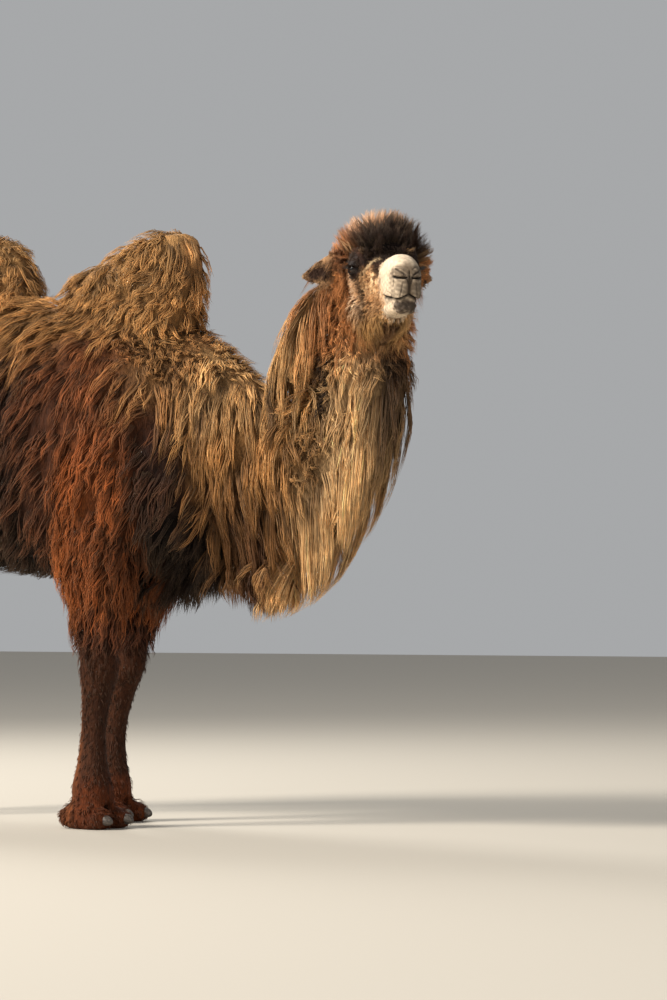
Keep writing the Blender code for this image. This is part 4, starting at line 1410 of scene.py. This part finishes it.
def woolMaterial(name, roughness, sheen, rootShade, tipShade):
    # wool and hair: matt fibres, with painted shade at the root where light is lost between them, and
    # lighter at the tip, partly bleached and partly painted light
    made, tree, surface = newMaterial(name, {
        "Roughness": roughness, "IOR": 1.55, "Specular IOR Level": 0.2, "Sheen Weight": sheen,
        "Sheen Roughness": 0.5, "Sheen Tint": (*hexColour("#f3cba2"), 1),
    })
    along = ownValue(tree, "along")
    shade = addNode(tree, "ShaderNodeValToRGB", inputs={0: along})
    root, tip = shade.color_ramp.elements
    root.color = (rootShade, rootShade * 0.95, rootShade * 0.9, 1)
    tip.color = (tipShade, tipShade, tipShade * 0.97, 1)
    tip.position = 0.9
    blotch = noise(tree, objectPlace(tree), 28.0, 3.0)  # matted patches, about 35 mm
    dusty = spread(tree, blotch, 0.3, 0.7, 0.82, 1.18)
    fibre = addNode(tree, "ShaderNodeCombineXYZ", inputs={"X": ownValue(tree, "fibre"), "Y": along})
    strands = noise(tree, fibre.outputs[0], 2.2)  # a few fibres across each tuft
    streak = spread(tree, strands, 0.3, 0.7, 0.7, 1.3)
    shaded = addNode(tree, "ShaderNodeVectorMath", {"operation": "MULTIPLY"},
                     {0: ownColour(tree, "markingsAndPaintedShading"), 1: shade.outputs["Color"]})
    final = addNode(tree, "ShaderNodeVectorMath", {"operation": "SCALE"},
                    {0: shaded.outputs[0], "Scale": maths(tree, "MULTIPLY", dusty, streak)})
    tree.links.new(final.outputs[0], surface["Base Color"])
    return made


shaggyWool = woolMaterial("shaggy winter wool", 0.85, 0.12, 0.32, 1.35)
longHair = woolMaterial("long straight mane hair", 0.6, 0.12, 0.42, 1.25)
shortHair = woolMaterial("short sleek leg and face hair", 0.7, 0.08, 0.7, 1.15)


def bodyHeight(points):
    return inBody(points)[:, 2]


def eyeGap(points):
    # distance from the nearer eyeball's middle
    head = inHead(points)
    head[:, 1] = np.abs(head[:, 1]) - stance["eyeSpread"]
    return np.linalg.norm(head, axis=1)


def awayFromEyes(points):
    return soft(eyeGap(points), 0.031, 0.038)


def aroundEyes(points):
    gap = eyeGap(points)
    return soft(gap, 0.030, 0.034) * soft(gap, 0.080, 0.060) * soft(inHead(points)[:, 0], -0.07, -0.04)


def aboveTheBrow(points):
    # the crown's hair starts above the brow in front and reaches down over the ears' roots behind
    head = inHead(points)
    start = 0.195 * soft(head[:, 0], -0.10, -0.05) * soft(np.abs(head[:, 1]), 0.045, 0.070) - 0.12
    return soft(head[:, 2] - start, 0.0, 0.04)


def onTemple(points):
    # between eye and ear, where the crown's hair runs into the cheek's
    head = inHead(points)
    aside = np.abs(head[:, 1])
    band = soft(head[:, 0], -0.085, -0.11) * soft(aside, 0.06, 0.08) * soft(aside, 0.165, 0.15)
    return band * soft(head[:, 2], -0.12, -0.08) * soft(head[:, 2], 0.08, 0.05)


def alongEarEdge(points):
    head = inHead(points)
    middle = np.interp(np.abs(head[:, 1]), [row[1] for row in earRows], [row[2] for row in earRows])
    half = np.interp(np.abs(head[:, 1]), [row[1] for row in earRows], [row[3] for row in earRows])
    return soft(np.abs(head[:, 2] - middle) / half, 0.65, 0.85) * soft(np.abs(head[:, 1]), 0.205, 0.185)


def napeGap(points):
    # 1 in the dark parting between the nape's mane and the throat's, and on the curls below it
    x, _, z = inBody(points).T
    parting = np.exp(-((x - 0.845) / 0.040) ** 2) * soft(z, 1.30, 1.40) * soft(z, 1.74, 1.66)
    return np.maximum(parting, curlPatch(points))


def curlPatch(points):
    # 1 on the tight curls low on the side of the neck
    x, _, z = inBody(points).T
    return soft(np.hypot((x - 0.80) / 0.075, (z - 1.29) / 0.125), 1.15, 0.85)


# What coats of one kind share. Length, width, clump, wave and proud are metres, swirl is in radians, waves
# are counted along a hair, the tones are spreads of brightness, and the others are counts or shares.
coatKinds = {
    "shaggy": {
        "hairs": 8, "rings": 3, "steps": 5, "uneven": 0.3, "width": 0.0042, "tipDraw": 0.32, "lift": 0.2,
        "hang": 0.4, "stick": 0.4, "swell": 0.7, "rise": (0.4, 1.0), "proud": 0.004, "swirl": 0.20,
        "wave": 0.006, "waves": 1.5, "toneTufts": 0.14, "toneHairs": 0.16, "material": shaggyWool,
        "slot": "body_coat",
    },
    "mane": {
        "hairs": 10, "rings": 4, "steps": 6, "uneven": 0.2, "width": 0.0036, "tipDraw": 0.35, "lift": 0.3,
        "hang": 0.25, "stick": 0.3, "swell": 0.8, "rise": (0.3, 1.0), "proud": 0.004, "swirl": 0.25,
        "wave": 0.005, "waves": 1.4, "toneTufts": 0.12, "toneHairs": 0.20, "material": longHair,
        "slot": "neck_mane",
    },
    "short": {
        "hairs": 5, "rings": 2, "steps": 3, "uneven": 0.3, "width": 0.0015, "tipDraw": 0.4, "lift": 0.25,
        "hang": 0.0, "stick": 0.7, "swell": 0.6, "rise": (0.5, 1.0), "proud": 0.002, "swirl": 0.35,
        "wave": 0.001, "waves": 1.0, "toneTufts": 0.14, "toneHairs": 0.14, "material": shortHair,
        "slot": "head_coat",
    },
    "tousled": {
        "hairs": 9, "rings": 2, "steps": 4, "uneven": 0.4, "width": 0.0022, "tipDraw": 0.16, "lift": 1.9,
        "hang": 0.25, "stick": 0.02, "swell": 0.7, "rise": (0.75, 1.4), "proud": 0.018, "swirl": 0.5,
        "wave": 0.008, "waves": 0.8, "toneTufts": 0.18, "toneHairs": 0.18, "material": shaggyWool,
        "slot": "head_coat",
    },
}
coats = {
    "flankCoat": {
        "kind": "shaggy", "forms": ("trunk",), "where": lambda p: soft(bodyHeight(p), 0.86, 0.90),
        "lie": downAndBack, "split": "y", "seed": 11, "tufts": 960, "length": 0.160, "uneven": 0.4,
        "clump": 0.021, "lift": 0.34, "hang": 0.20, "rise": (0.45, 1.0), "swirl": 0.32, "toneHairs": 0.18,
    },
    "humpCoat": {
        "kind": "shaggy", "forms": ("frontHump", "rearHump"), "where": everywhere, "lie": offTheHump,
        "split": "x", "seed": 12, "tufts": 500, "length": 0.100, "uneven": 0.4, "width": 0.0038,
        "clump": 0.019, "lift": 0.50, "hang": 0.12, "stick": 0.5, "rise": (0.5, 1.05), "proud": 0.007,
        "swirl": 0.55, "wave": 0.007, "waves": 1.6, "toneHairs": 0.15, "slot": "hump_coat",
    },
    "neckCoat": {
        "kind": "mane", "forms": ("neck",),
        "where": lambda p: soft(bodyHeight(p), 1.66, 1.56) * (1 - 0.6 * napeGap(p)), "lie": downTheNeck,
        "split": "y", "seed": 13, "tufts": 340, "rings": 3, "length": 0.20, "uneven": 0.25,
        "clump": 0.019, "rise": (0.4, 1.0), "toneTufts": 0.13,
        "lengthAt": lambda p: (1 - 0.55 * soft(bodyHeight(p), 1.45, 1.58)) * (1 - 0.6 * napeGap(p)),
    },
    "neckTopCoat": {
        "kind": "shaggy", "forms": ("neck", "throatMane"),
        "where": lambda p: soft(bodyHeight(p), 1.50, 1.58), "lie": downTheNeck, "seed": 33, "tufts": 1000,
        "hairs": 6, "rings": 2, "steps": 4, "length": 0.052, "uneven": 0.35, "width": 0.0027,
        "clump": 0.013, "tipDraw": 0.35, "lift": 0.7, "hang": 0.2, "stick": 0.3, "rise": (0.5, 1.1),
        "proud": 0.006, "swirl": 0.9, "waves": 1.3, "toneTufts": 0.20, "toneHairs": 0.20,
        "slot": "neck_mane",
    },
    "neckCurls": {
        "kind": "shaggy", "forms": ("neck", "throatMane", "napeMane"), "where": napeGap,
        "lie": straightDown, "seed": 34, "tufts": 380, "hairs": 5, "steps": 4, "length": 0.050,
        "width": 0.0036, "clump": 0.007, "tipDraw": 0.6, "lift": 0.5, "hang": 0.1, "rise": (0.3, 0.8),
        "swirl": 1.5, "wave": 0.008, "waves": 1.6, "toneTufts": 0.25, "slot": "neck_mane",
    },
    "throatMane": {
        "kind": "mane", "forms": ("throatMane",), "where": everywhere, "lie": intoTheCurtain, "seed": 14,
        "tufts": 620, "hairs": 13, "steps": 8, "length": 0.40, "width": 0.0034, "clump": 0.019,
        "tipDraw": 0.45, "lift": 0.12, "hang": 0.4, "stick": 0.03, "swirl": 0.07, "wave": 0.003,
        "waves": 1.8, "toneHairs": 0.22, "lengthAt": lambda p: 1 - 0.45 * soft(bodyHeight(p), 1.40, 1.60),
        "overhang": 0.060,
    },
    "napeMane": {
        "kind": "mane", "forms": ("napeMane",), "where": lambda p: 1 - 0.85 * napeGap(p),
        "lie": straightDown, "seed": 15, "tufts": 210, "hairs": 11, "steps": 7, "length": 0.30,
        "clump": 0.014, "tipDraw": 0.55, "lift": 0.15, "hang": 0.5, "stick": 0.05, "swirl": 0.10,
        "waves": 2.0, "toneHairs": 0.18,
    },
    "chestFringe": {
        "kind": "shaggy", "forms": ("chestFringe",), "where": everywhere, "lie": straightDown, "seed": 16,
        "tufts": 300, "rings": 4, "steps": 6, "length": 0.24, "uneven": 0.35, "width": 0.0046,
        "clump": 0.015, "tipDraw": 0.4, "stick": 0.03, "swell": 0.8, "swirl": 0.15, "toneTufts": 0.2,
        "overhang": 0.02,
    },
    "foreThighCoat": {
        "kind": "shaggy", "forms": ("leg_fore_right", "leg_fore_left"),
        "where": lambda p: soft(bodyHeight(p), 0.62, 0.68), "lie": downAndBack, "seed": 17, "tufts": 620,
        "rings": 4, "length": 0.16, "clump": 0.018, "lift": 0.3, "hang": 0.3, "stick": 0.3, "wave": 0.008,
        "waves": 2.0, "toneHairs": 0.18, "lengthAt": lambda p: 1 - 0.45 * soft(bodyHeight(p), 0.80, 0.66),
        "slot": "thigh_coat",
    },
    "hindThighCoat": {
        "kind": "shaggy", "forms": ("leg_hind_right", "leg_hind_left"),
        "where": lambda p: soft(bodyHeight(p), 0.72, 0.80), "lie": downAndBack, "seed": 27, "tufts": 680,
        "length": 0.14, "clump": 0.018, "lift": 0.3, "hang": 0.25, "waves": 1.7, "slot": "thigh_coat",
    },
    "shinCoat": {
        "kind": "short", "forms": tuple(f"leg_{kind}_{side}" for kind, side in stance["feet"]),
        "where": lambda p: soft(bodyHeight(p), 0.84, 0.64), "lie": straightDown, "seed": 18,
        "tufts": 2500, "hairs": 3, "length": 0.030, "uneven": 0.4, "width": 0.0030, "clump": 0.006,
        "tipDraw": 0.5, "lift": 0.12, "stick": 0.9, "rise": (0.25, 0.7), "toneTufts": 0.06,
        "toneHairs": 0.08, "lengthAt": lambda p: 1 + 0.8 * soft(bodyHeight(p), 0.48, 0.60),
        "slot": "leg_coat",
    },
    "footCoat": {
        "kind": "short", "forms": tuple(f"foot_{kind}_{side}" for kind, side in stance["feet"]),
        "where": lambda p: soft(bodyHeight(p), 0.012, 0.03), "lie": straightDown, "seed": 19,
        "tufts": 720, "steps": 4, "length": 0.045, "uneven": 0.35, "width": 0.0034, "clump": 0.009,
        "tipDraw": 0.35, "lift": 0.35, "hang": 0.12, "rise": (0.5, 1.1), "proud": 0.003, "swirl": 0.5,
        "wave": 0.003, "waves": 1.2, "slot": "leg_coat",
    },
    "tailCoat": {
        "kind": "shaggy", "forms": ("tail",), "where": everywhere, "lie": straightDown, "seed": 20,
        "tufts": 200, "length": 0.10, "width": 0.0045, "clump": 0.012, "tipDraw": 0.4, "stick": 0.3,
        "swell": 0.8, "swirl": 0.2, "wave": 0.004, "toneTufts": 0.2,
        "lengthAt": lambda p: 0.5 + soft(bodyHeight(p), 1.25, 1.05), "slot": "tail_coat",
    },
    "crownCoat": {
        "kind": "tousled", "forms": ("crown",), "where": aboveTheBrow, "lie": upFromBrow, "seed": 21,
        "tufts": 900, "hairs": 11, "length": 0.105, "uneven": 0.35, "clump": 0.011, "hang": 0.12,
        "lengthAt": lambda p: 1 - 0.45 * soft(inHead(p)[:, 0], -0.02, 0.05),
    },
    "cheekCoat": {
        "kind": "tousled", "forms": ("cheeks", "jaw"),
        "where": lambda p: soft(inHead(p)[:, 0], 0.115, 0.08) * awayFromEyes(p), "lie": downTheBeard,
        "seed": 22, "tufts": 850, "length": 0.044, "width": 0.0014, "clump": 0.0075, "tipDraw": 0.35,
        "lift": 0.30, "stick": 0.5, "rise": (0.4, 1.1), "proud": 0.004, "swirl": 0.35, "wave": 0.003,
        "toneTufts": 0.12, "toneHairs": 0.14,
        "lengthAt": lambda p: 0.65 + 1.0 * soft(inHead(p)[:, 2], -0.13, -0.18),
    },
    "templeCoat": {
        "kind": "tousled", "forms": ("skull", "cheeks", "crown", "ear_right", "ear_left"),
        "where": onTemple, "lie": downTheBeard, "seed": 37, "tufts": 170, "length": 0.075,
        "width": 0.0018, "clump": 0.010, "tipDraw": 0.3, "lift": 0.8, "stick": 0.1, "rise": (0.5, 1.2),
        "proud": 0.008, "wave": 0.005, "waves": 0.9, "toneHairs": 0.16,
    },
    "faceCoat": {
        "kind": "short", "forms": ("skull", "jaw"),
        "where": lambda p: soft(inHead(p)[:, 0], 0.17, 0.14) * awayFromEyes(p), "lie": backOverFace,
        "seed": 23, "tufts": 1400, "length": 0.021, "width": 0.0013, "clump": 0.005, "lift": 0.22,
        "stick": 0.8, "swirl": 0.30, "toneTufts": 0.08, "toneHairs": 0.10,
    },
    "browCoat": {
        "kind": "short", "forms": None, "where": aroundEyes, "lie": awayFromEye, "seed": 35, "tufts": 420,
        "length": 0.017, "clump": 0.004, "stick": 0.8, "proud": 0.004, "swirl": 0.25, "toneTufts": 0.08,
        "toneHairs": 0.10,
    },
    "earCoat": {
        "kind": "short", "forms": ("ear_right", "ear_left"), "where": everywhere, "lie": towardsEarTip,
        "seed": 24, "tufts": 520, "hairs": 4, "length": 0.022, "clump": 0.005, "hang": 0.02,
        "rise": (0.6, 1.3), "proud": 0.003, "toneTufts": 0.10,
    },
    "earFringe": {
        "kind": "short", "forms": ("ear_right", "ear_left"), "where": alongEarEdge, "lie": outFromEar,
        "seed": 36, "tufts": 170, "steps": 4, "length": 0.042, "uneven": 0.35, "width": 0.0016,
        "clump": 0.006, "tipDraw": 0.3, "lift": 0.5, "hang": 0.1, "stick": 0.1, "rise": (0.6, 1.3),
        "proud": 0.006, "swirl": 0.3, "wave": 0.003,
    },
}


def finishPiece(thing, slot, replaced=()):
    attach(thing, "root")
    if replaced:
        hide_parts(*replaced)


coatSplits = {"x": (0, -0.33, ("Rear", "Front")), "y": (1, 0.0, ("Right", "Left"))}  # axis, middle, names


def halves(name, coat):
    # a coat with too many hairs for one piece is grown in two: right and left, or rear and front
    if "split" not in coat:
        return [(name, coat)]
    axis, middle, words = coatSplits[coat["split"]]
    made = []
    for number, (word, sign) in enumerate(zip(words, (-1, 1))):
        half = dict(coat, seed=coat["seed"] + 40 * (number + 1))
        half["where"] = lambda p, sign=sign: coat["where"](p) * ((inBody(p)[:, axis] - middle) * sign > 0)
        made.append((name + word, half))
    return made


coatTriangles = 0
for name, own in coats.items():
    coat = {**coatKinds[own["kind"]], **own}
    for pieceName, half in halves(name, coat):
        grown = addObject(pieceName, growCoat(pieceName, half))
        grown.data.materials.append(coat["material"])
        finishPiece(grown, coat["slot"])
        coatTriangles += len(grown.data.polygons)
print("coat:", coatTriangles, "triangles")


def skinMaterial():
    # living skin: short hair lies flat as bump, and the muzzle is bare, dry and finely wrinkled
    made, tree, surface = newMaterial("camel skin under short hair",
                                      {"Roughness": 0.72, "Specular IOR Level": 0.12})
    bare = ownValue(tree, "bare")
    flat = noise(tree, objectPlace(tree, (330, 330, 50)), 1.0)  # single hairs, about 3 by 20 mm
    clumps = noise(tree, objectPlace(tree, (90, 90, 38)), 1.0, 3.0, 0.9)  # matted clumps, about 11 by 26 mm
    furry = maths(tree, "MULTIPLY_ADD", clumps, 2.2, flat)
    pores = addNode(tree, "ShaderNodeTexVoronoi", inputs={"Vector": objectPlace(tree), "Scale": 300.0})
    creases = noise(tree, objectPlace(tree), 85.0, 6.0)  # wrinkles, about 12 mm
    wrinkled = maths(tree, "MULTIPLY_ADD", pores.outputs["Distance"], 0.30, creases)
    speck = spread(tree, creases, 0.35, 0.65, 0.72, 1.10)
    hairy = spread(tree, furry, 1.1, 2.1, 0.45, 1.35)
    tone = addNode(tree, "ShaderNodeMix", {"data_type": "FLOAT"}, {0: bare, 2: hairy, 3: speck})
    final = addNode(tree, "ShaderNodeVectorMath", {"operation": "SCALE"},
                    {0: ownColour(tree, "markingsAndPaintedShading"), "Scale": tone.outputs[0]})
    fleece = addNode(tree, "ShaderNodeBump", inputs={"Height": furry, "Distance": 0.004, "Strength": 0.9})
    dry = addNode(tree, "ShaderNodeBump", inputs={"Height": wrinkled, "Distance": 0.0016, "Strength": 0.9})
    normal = addNode(tree, "ShaderNodeMix", {"data_type": "VECTOR"},
                     {0: bare, 4: fleece.outputs[0], 5: dry.outputs[0]})
    tree.links.new(final.outputs[0], surface["Base Color"])
    tree.links.new(normal.outputs[1], surface["Normal"])
    return made


def finishSkin():
    # in the coat's own colours, with painted shade where the coat over it is deep
    colours = markingsAndPaintedShading(uncutPoints)
    coatDepth = roomAbove(skinPoints, skinNormals)
    shaded = 1 - 0.60 * soft(coatDepth, 0.014, 0.034) * (1 - bareness(skinPoints))
    addColours(skinMesh, "markingsAndPaintedShading", np.clip(colours * shaded[:, None], 0, 1))
    addFloats(skinMesh, "bare", bareness(skinPoints))
    skin = addObject("camelSkin", skinMesh)
    skinMesh.materials.clear()
    skinMesh.materials.append(skinMaterial())
    flesh = [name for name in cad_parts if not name.startswith(("eye", "toenail"))]
    finishPiece(skin, "head_coat", flesh)


finishSkin()
print("skin finished")


def eyeMaterial():
    # a wet dark eye: clear cornea over a brown iris with a level pupil
    made, tree, surface = newMaterial("wet brown eye", {
        "Roughness": 0.12, "IOR": 1.38, "Specular IOR Level": 0.25, "Coat Weight": 0.45,
        "Coat Roughness": 0.02,
    })
    tree.links.new(ownColour(tree, "eyeColour"), surface["Base Color"])
    return made


eyeColours = {"pupil": "#040303", "iris": "#1c0f08", "rim": "#0d0806", "white": "#1d130e"}
eyeBands = {"rim": (56, 50), "iris": (48, 42)}  # degrees from the gaze over which each colour sets in


def makeEye(side, material):
    mesh = ballMesh(f"eyeball_{side}", 40, 28)
    gaze, across, above = (np.array(headTurn @ axis) for axis in gazeAxes(side))
    ball = pointsOf(mesh)  # the sphere's pole looks along the gaze
    cornea = stance["eyeRadius"] * (1 + 0.05 * np.exp(-(((1 - ball[:, 2]) / 0.12) ** 2)))
    points = (ball[:, :1] * across + ball[:, 1:2] * above + ball[:, 2:] * gaze) * cornea[:, None]
    setPoints(mesh, points + np.array(eyeMiddle(side)))
    if float(np.dot(np.cross(across, above), gaze)) < 0:
        mesh.flip_normals()
    outwards = np.degrees(np.arccos(np.clip(ball[:, 2], -1, 1)))
    tones = {name: hexColour(code) for name, code in eyeColours.items()}
    colours = np.tile(tones["white"], (len(ball), 1))
    for name, (start, end) in eyeBands.items():
        colours += (tones[name] - colours) * soft(outwards, start, end)[:, None]
    pupil = np.hypot(ball[:, 0] / 0.34, ball[:, 1] / 0.17)
    colours += (tones["pupil"] - colours) * (soft(pupil, 1.15, 0.95) * (ball[:, 2] > 0))[:, None]
    addColours(mesh, "eyeColour", colours)
    mesh.materials.append(material)
    finishPiece(addObject(f"eyeball_{side}", mesh), "eye", [f"eye_{side}"])


wetEye = eyeMaterial()
for side in sideSign:
    makeEye(side, wetEye)
print("eyes made")


def bristleTree(material):
    # a bent tapering hair on each point of a mesh, turned and stretched by the point's own values
    tree = bpy.data.node_groups.new("bristles", "GeometryNodeTree")
    tree.interface.new_socket("Points", in_out="INPUT", socket_type="NodeSocketGeometry")
    for name, value in (("Bristle Length", 0.02), ("Thickness", 0.001), ("Bend", 0.3)):
        socket = tree.interface.new_socket(name, in_out="INPUT", socket_type="NodeSocketFloat")
        socket.default_value = value
    tree.interface.new_socket("Bristles", in_out="OUTPUT", socket_type="NodeSocketGeometry")
    given = addNode(tree, "NodeGroupInput")
    cone = addNode(tree, "GeometryNodeMeshCone", {"fill_type": "NGON"},
                   {"Vertices": 5, "Side Segments": 5, "Radius Top": 0.08, "Radius Bottom": 1.0,
                    "Depth": 1.0})
    place = addNode(tree, "GeometryNodeInputPosition")
    x, y, z = addNode(tree, "ShaderNodeSeparateXYZ", inputs={0: place.outputs[0]}).outputs
    bent = maths(tree, "MULTIPLY", maths(tree, "MULTIPLY", z, z), given.outputs["Bend"])
    thin = maths(tree, "DIVIDE", given.outputs["Thickness"], given.outputs["Bristle Length"])
    curved = addNode(tree, "ShaderNodeCombineXYZ", inputs={
        0: maths(tree, "MULTIPLY_ADD", x, thin, bent), 1: maths(tree, "MULTIPLY", y, thin), 2: z})
    shaped = addNode(tree, "GeometryNodeSetPosition", inputs={"Geometry": cone.outputs["Mesh"],
                                                              "Position": curved.outputs[0]})
    turned, reach = (addNode(tree, "GeometryNodeInputNamedAttribute", {"data_type": kind}, {"Name": name})
                     for kind, name in (("FLOAT_VECTOR", "turn"), ("FLOAT", "reach")))
    size = maths(tree, "MULTIPLY", reach.outputs[0], given.outputs["Bristle Length"])
    planted = addNode(tree, "GeometryNodeInstanceOnPoints",
                      inputs={"Points": given.outputs["Points"], "Instance": shaped.outputs[0],
                              "Rotation": turned.outputs[0], "Scale": size})
    real = addNode(tree, "GeometryNodeRealizeInstances", inputs={0: planted.outputs[0]})
    dressed = addNode(tree, "GeometryNodeSetMaterial",
                      inputs={"Geometry": real.outputs[0], "Material": material})
    addNode(tree, "NodeGroupOutput", inputs={"Bristles": dressed.outputs[0]})
    return tree


def plantBristles(name, places, towards, bendTo, reach, look, tree):
    # bristles at places in the head's frame, pointing one way and bending another
    turns = []
    for aim, bend in zip(towards, bendTo):
        up = Vector(aim).normalized()
        side = (Vector(bend) - up * Vector(bend).dot(up)).normalized()
        basis = Matrix((side, up.cross(side), up)).transposed()
        turns.append((headTurn @ basis).to_euler("XYZ"))
    mesh = bpy.data.meshes.new(name + "Points")
    mesh.vertices.add(len(places))
    setPoints(mesh, fromHead(np.array(places)))
    layer = mesh.attributes.new("turn", "FLOAT_VECTOR", "POINT")
    layer.data.foreach_set("vector", np.array([tuple(turn) for turn in turns], dtype=np.float32).ravel())
    addFloats(mesh, "reach", reach)
    holder = addObject(name + "Holder", mesh)
    maker = holder.modifiers.new("bristles", "NODES")
    maker.node_group = tree
    for item in tree.interface.items_tree:
        if item.name in look:
            maker[item.identifier] = look[item.name]
    made = addObject(name, evaluatedMesh(holder))
    finishPiece(made, "head_coat")


bristles = {
    "lashes": {"count": 50, "Bristle Length": 0.024, "Thickness": 0.0010, "Bend": 0.35, "seed": 71},
    "whiskers": {"count": 42, "Bristle Length": 0.030, "Thickness": 0.0005, "Bend": 0.25, "seed": 72},
}


def makeLashes(tree):
    look = bristles["lashes"]
    rng = np.random.default_rng(look["seed"])
    for side in sideSign:
        gaze, across, above = (np.array(axis) for axis in gazeAxes(side))
        middle = np.array([0, sideSign[side] * stance["eyeSpread"], 0])
        places, towards, bends = [], [], []
        for along in np.linspace(-46, 46, look["count"]):
            high = math.radians(float(openingEdge(np.array(along), np.array(1.0))) + rng.uniform(0, 3))
            a = math.radians(along)
            heading = (gaze * math.cos(a) + across * math.sin(a)) * math.cos(high) + above * math.sin(high)
            places.append(middle + heading * (stance["eyeRadius"] + eyeShape["lid"]))
            towards.append(heading + across * (0.5 * math.sin(a) + rng.normal(0, 0.08)) - above * 0.55)
            bends.append(above)
        reach = rng.uniform(0.65, 1.1, look["count"])
        plantBristles(f"lashes_{side}", places, towards, bends, reach, look, tree)


def makeWhiskers(tree):
    # sparse stiff hairs on the lips and chin
    look = bristles["whiskers"]
    rng = np.random.default_rng(look["seed"])
    head = inHead(skinPoints)
    facing = skinNormals @ headBack[:3, :3].T
    lips = np.where((head[:, 0] > 0.24) & (head[:, 2] < -0.085) & (head[:, 2] > -0.18)
                    & (np.linalg.norm(head, axis=1) < 0.4) & (facing[:, 0] > -0.2))[0]
    chosen = rng.choice(lips, look["count"], replace=False)
    towards = facing[chosen] + rng.normal(0, 0.25, (look["count"], 3))
    bends = np.tile([0, 0, -1.0], (look["count"], 1))
    reach = rng.uniform(0.3, 1.0, look["count"])
    plantBristles("whiskers", head[chosen], towards, bends, reach, look, tree)


def bristleMaterial():
    # near-black stiff hair with a slight gloss
    made, tree, surface = newMaterial("black lash hair", {"Roughness": 0.4})
    colour = addNode(tree, "ShaderNodeValToRGB", inputs={0: noise(tree, objectPlace(tree), 180.0)})
    for element, code in zip(colour.color_ramp.elements, ("#0c0806", "#3a281c")):
        element.color = (*hexColour(code), 1)
    tree.links.new(colour.outputs[0], surface["Base Color"])
    return made


lashTree = bristleTree(bristleMaterial())
makeLashes(lashTree)
makeWhiskers(lashTree)
print("lashes and whiskers made")


def hornMaterial():
    # grey-brown horn, grown in ridges about 4 mm apart and scuffed dull
    made, tree, surface = newMaterial("scuffed nail horn", {"Roughness": 0.5})
    ridges = noise(tree, objectPlace(tree, (40, 240, 240)), 1.0, 3.0)
    colour = addNode(tree, "ShaderNodeValToRGB", inputs={0: ridges})
    for element, place, code in zip(colour.color_ramp.elements, (0.3, 0.7), ("#1d1714", "#5f554c")):
        element.position = place
        element.color = (*hexColour(code), 1)
    bump = addNode(tree, "ShaderNodeBump", inputs={"Height": ridges, "Distance": 0.001})
    tree.links.new(colour.outputs[0], surface["Base Color"])
    tree.links.new(bump.outputs[0], surface["Normal"])
    return made


nailShape = {"under": 0.8, "droop": 0.18, "narrowing": 0.18}  # shares of the nail's half size


def makeNail(node, material):
    # a blunt horn cap in the solid's place: arched above, flat below and drawn out at the tip
    low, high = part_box(node)
    middle, half = np.array((low + high) / 2), np.array((high - low) / 2)
    mesh = ballMesh(node + "_horn", 28, 18)
    ball = pointsOf(mesh)
    ahead = np.clip(ball[:, 0], 0, 1)
    ball[:, 2] = np.where(ball[:, 2] < 0, ball[:, 2] * nailShape["under"], ball[:, 2])
    ball[:, 2] -= nailShape["droop"] * ahead ** 2
    ball[:, 1] *= 1 - nailShape["narrowing"] * ahead
    setPoints(mesh, middle + ball * half)
    mesh.materials.append(material)
    finishPiece(addObject(node + "_horn", mesh), "nail", [node])


nailHorn = hornMaterial()
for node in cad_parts:
    if node.startswith("toenail"):
        makeNail(node, nailHorn)
print("nails made")


def makeFloor():
    bm = bmesh.new()
    bmesh.ops.create_grid(bm, x_segments=2, y_segments=2, size=40)
    mesh = bpy.data.meshes.new("floor")
    bm.to_mesh(mesh)
    bm.free()
    finish = {"Base Color": (*hexColour("#bdb6aa"), 1), "Roughness": 0.9}  # pale, matt and even
    mesh.materials.append(newMaterial("pale matt floor", finish)[0])
    addObject("floor", mesh)


view = {
    "azimuth": 33,  # degrees ahead of square on to the right flank
    "distance": 12.0,
    "height": 0.744,
    "lens": 126.576,  # mm, for a sensor 36 mm wide
    "pitch": 1.792,  # degrees up
    "lookAt": (0.0, -0.18),  # counted from between the forefeet
    "aside": 0.797,  # metres that the camera stands to the right of its aim
}
lights = {  # metres to the right, away from the camera and up, size, watts and colour
    "keyLight": ((-11, -5, 8.5), 4.0, 3500, "#fff8ed"),
    "fillLight": ((5, -8, 3), 5.0, 160, "#fffcf8"),
    "backLight": ((-3, 6, 6.5), 3.0, 450, "#fffcf6"),
}
lightAim = Vector((0.2, 0, 1.2))  # the middle of the animal
turn = math.radians(view["azimuth"])
ahead = Vector((-math.sin(turn), math.cos(turn), 0))
rightward = Vector((math.cos(turn), math.sin(turn), 0))


def makeCamera():
    lens = bpy.data.cameras.new("camera")
    lens.sensor_fit = "AUTO"
    lens.sensor_width = 36
    lens.lens = view["lens"]
    lens.clip_end = 200
    camera = addObject("camera", lens)
    aim = bodyShift + Vector((*view["lookAt"], 0))
    camera.location = aim - ahead * view["distance"] + rightward * view["aside"]
    camera.location.z = view["height"]
    camera.rotation_euler = (math.radians(90 + view["pitch"]), 0, turn)
    bpy.context.scene.camera = camera


def makeLight(name, offsets, size, power, code):
    lamp = bpy.data.lights.new(name, "AREA")
    lamp.size = size
    lamp.energy = power
    lamp.color = hexColour(code)
    light = addObject(name, lamp)
    right, forward, high = offsets
    place = rightward * right + ahead * forward + Vector((0, 0, high))
    light.location = place
    light.rotation_euler = (lightAim - place).to_track_quat("-Z", "Y").to_euler()


def makeStudio():
    world = bpy.data.worlds.new("studio")
    world.use_nodes = True
    sky = world.node_tree.nodes["Background"].inputs
    sky["Color"].default_value = (*hexColour("#eceef0"), 1)
    sky["Strength"].default_value = 0.46
    bpy.context.scene.world = world
    bpy.context.scene.view_settings.view_transform = "Standard"
    for name, values in lights.items():
        makeLight(name, *values)


makeFloor()
makeCamera()
makeStudio()
print("floor, camera and lights made")
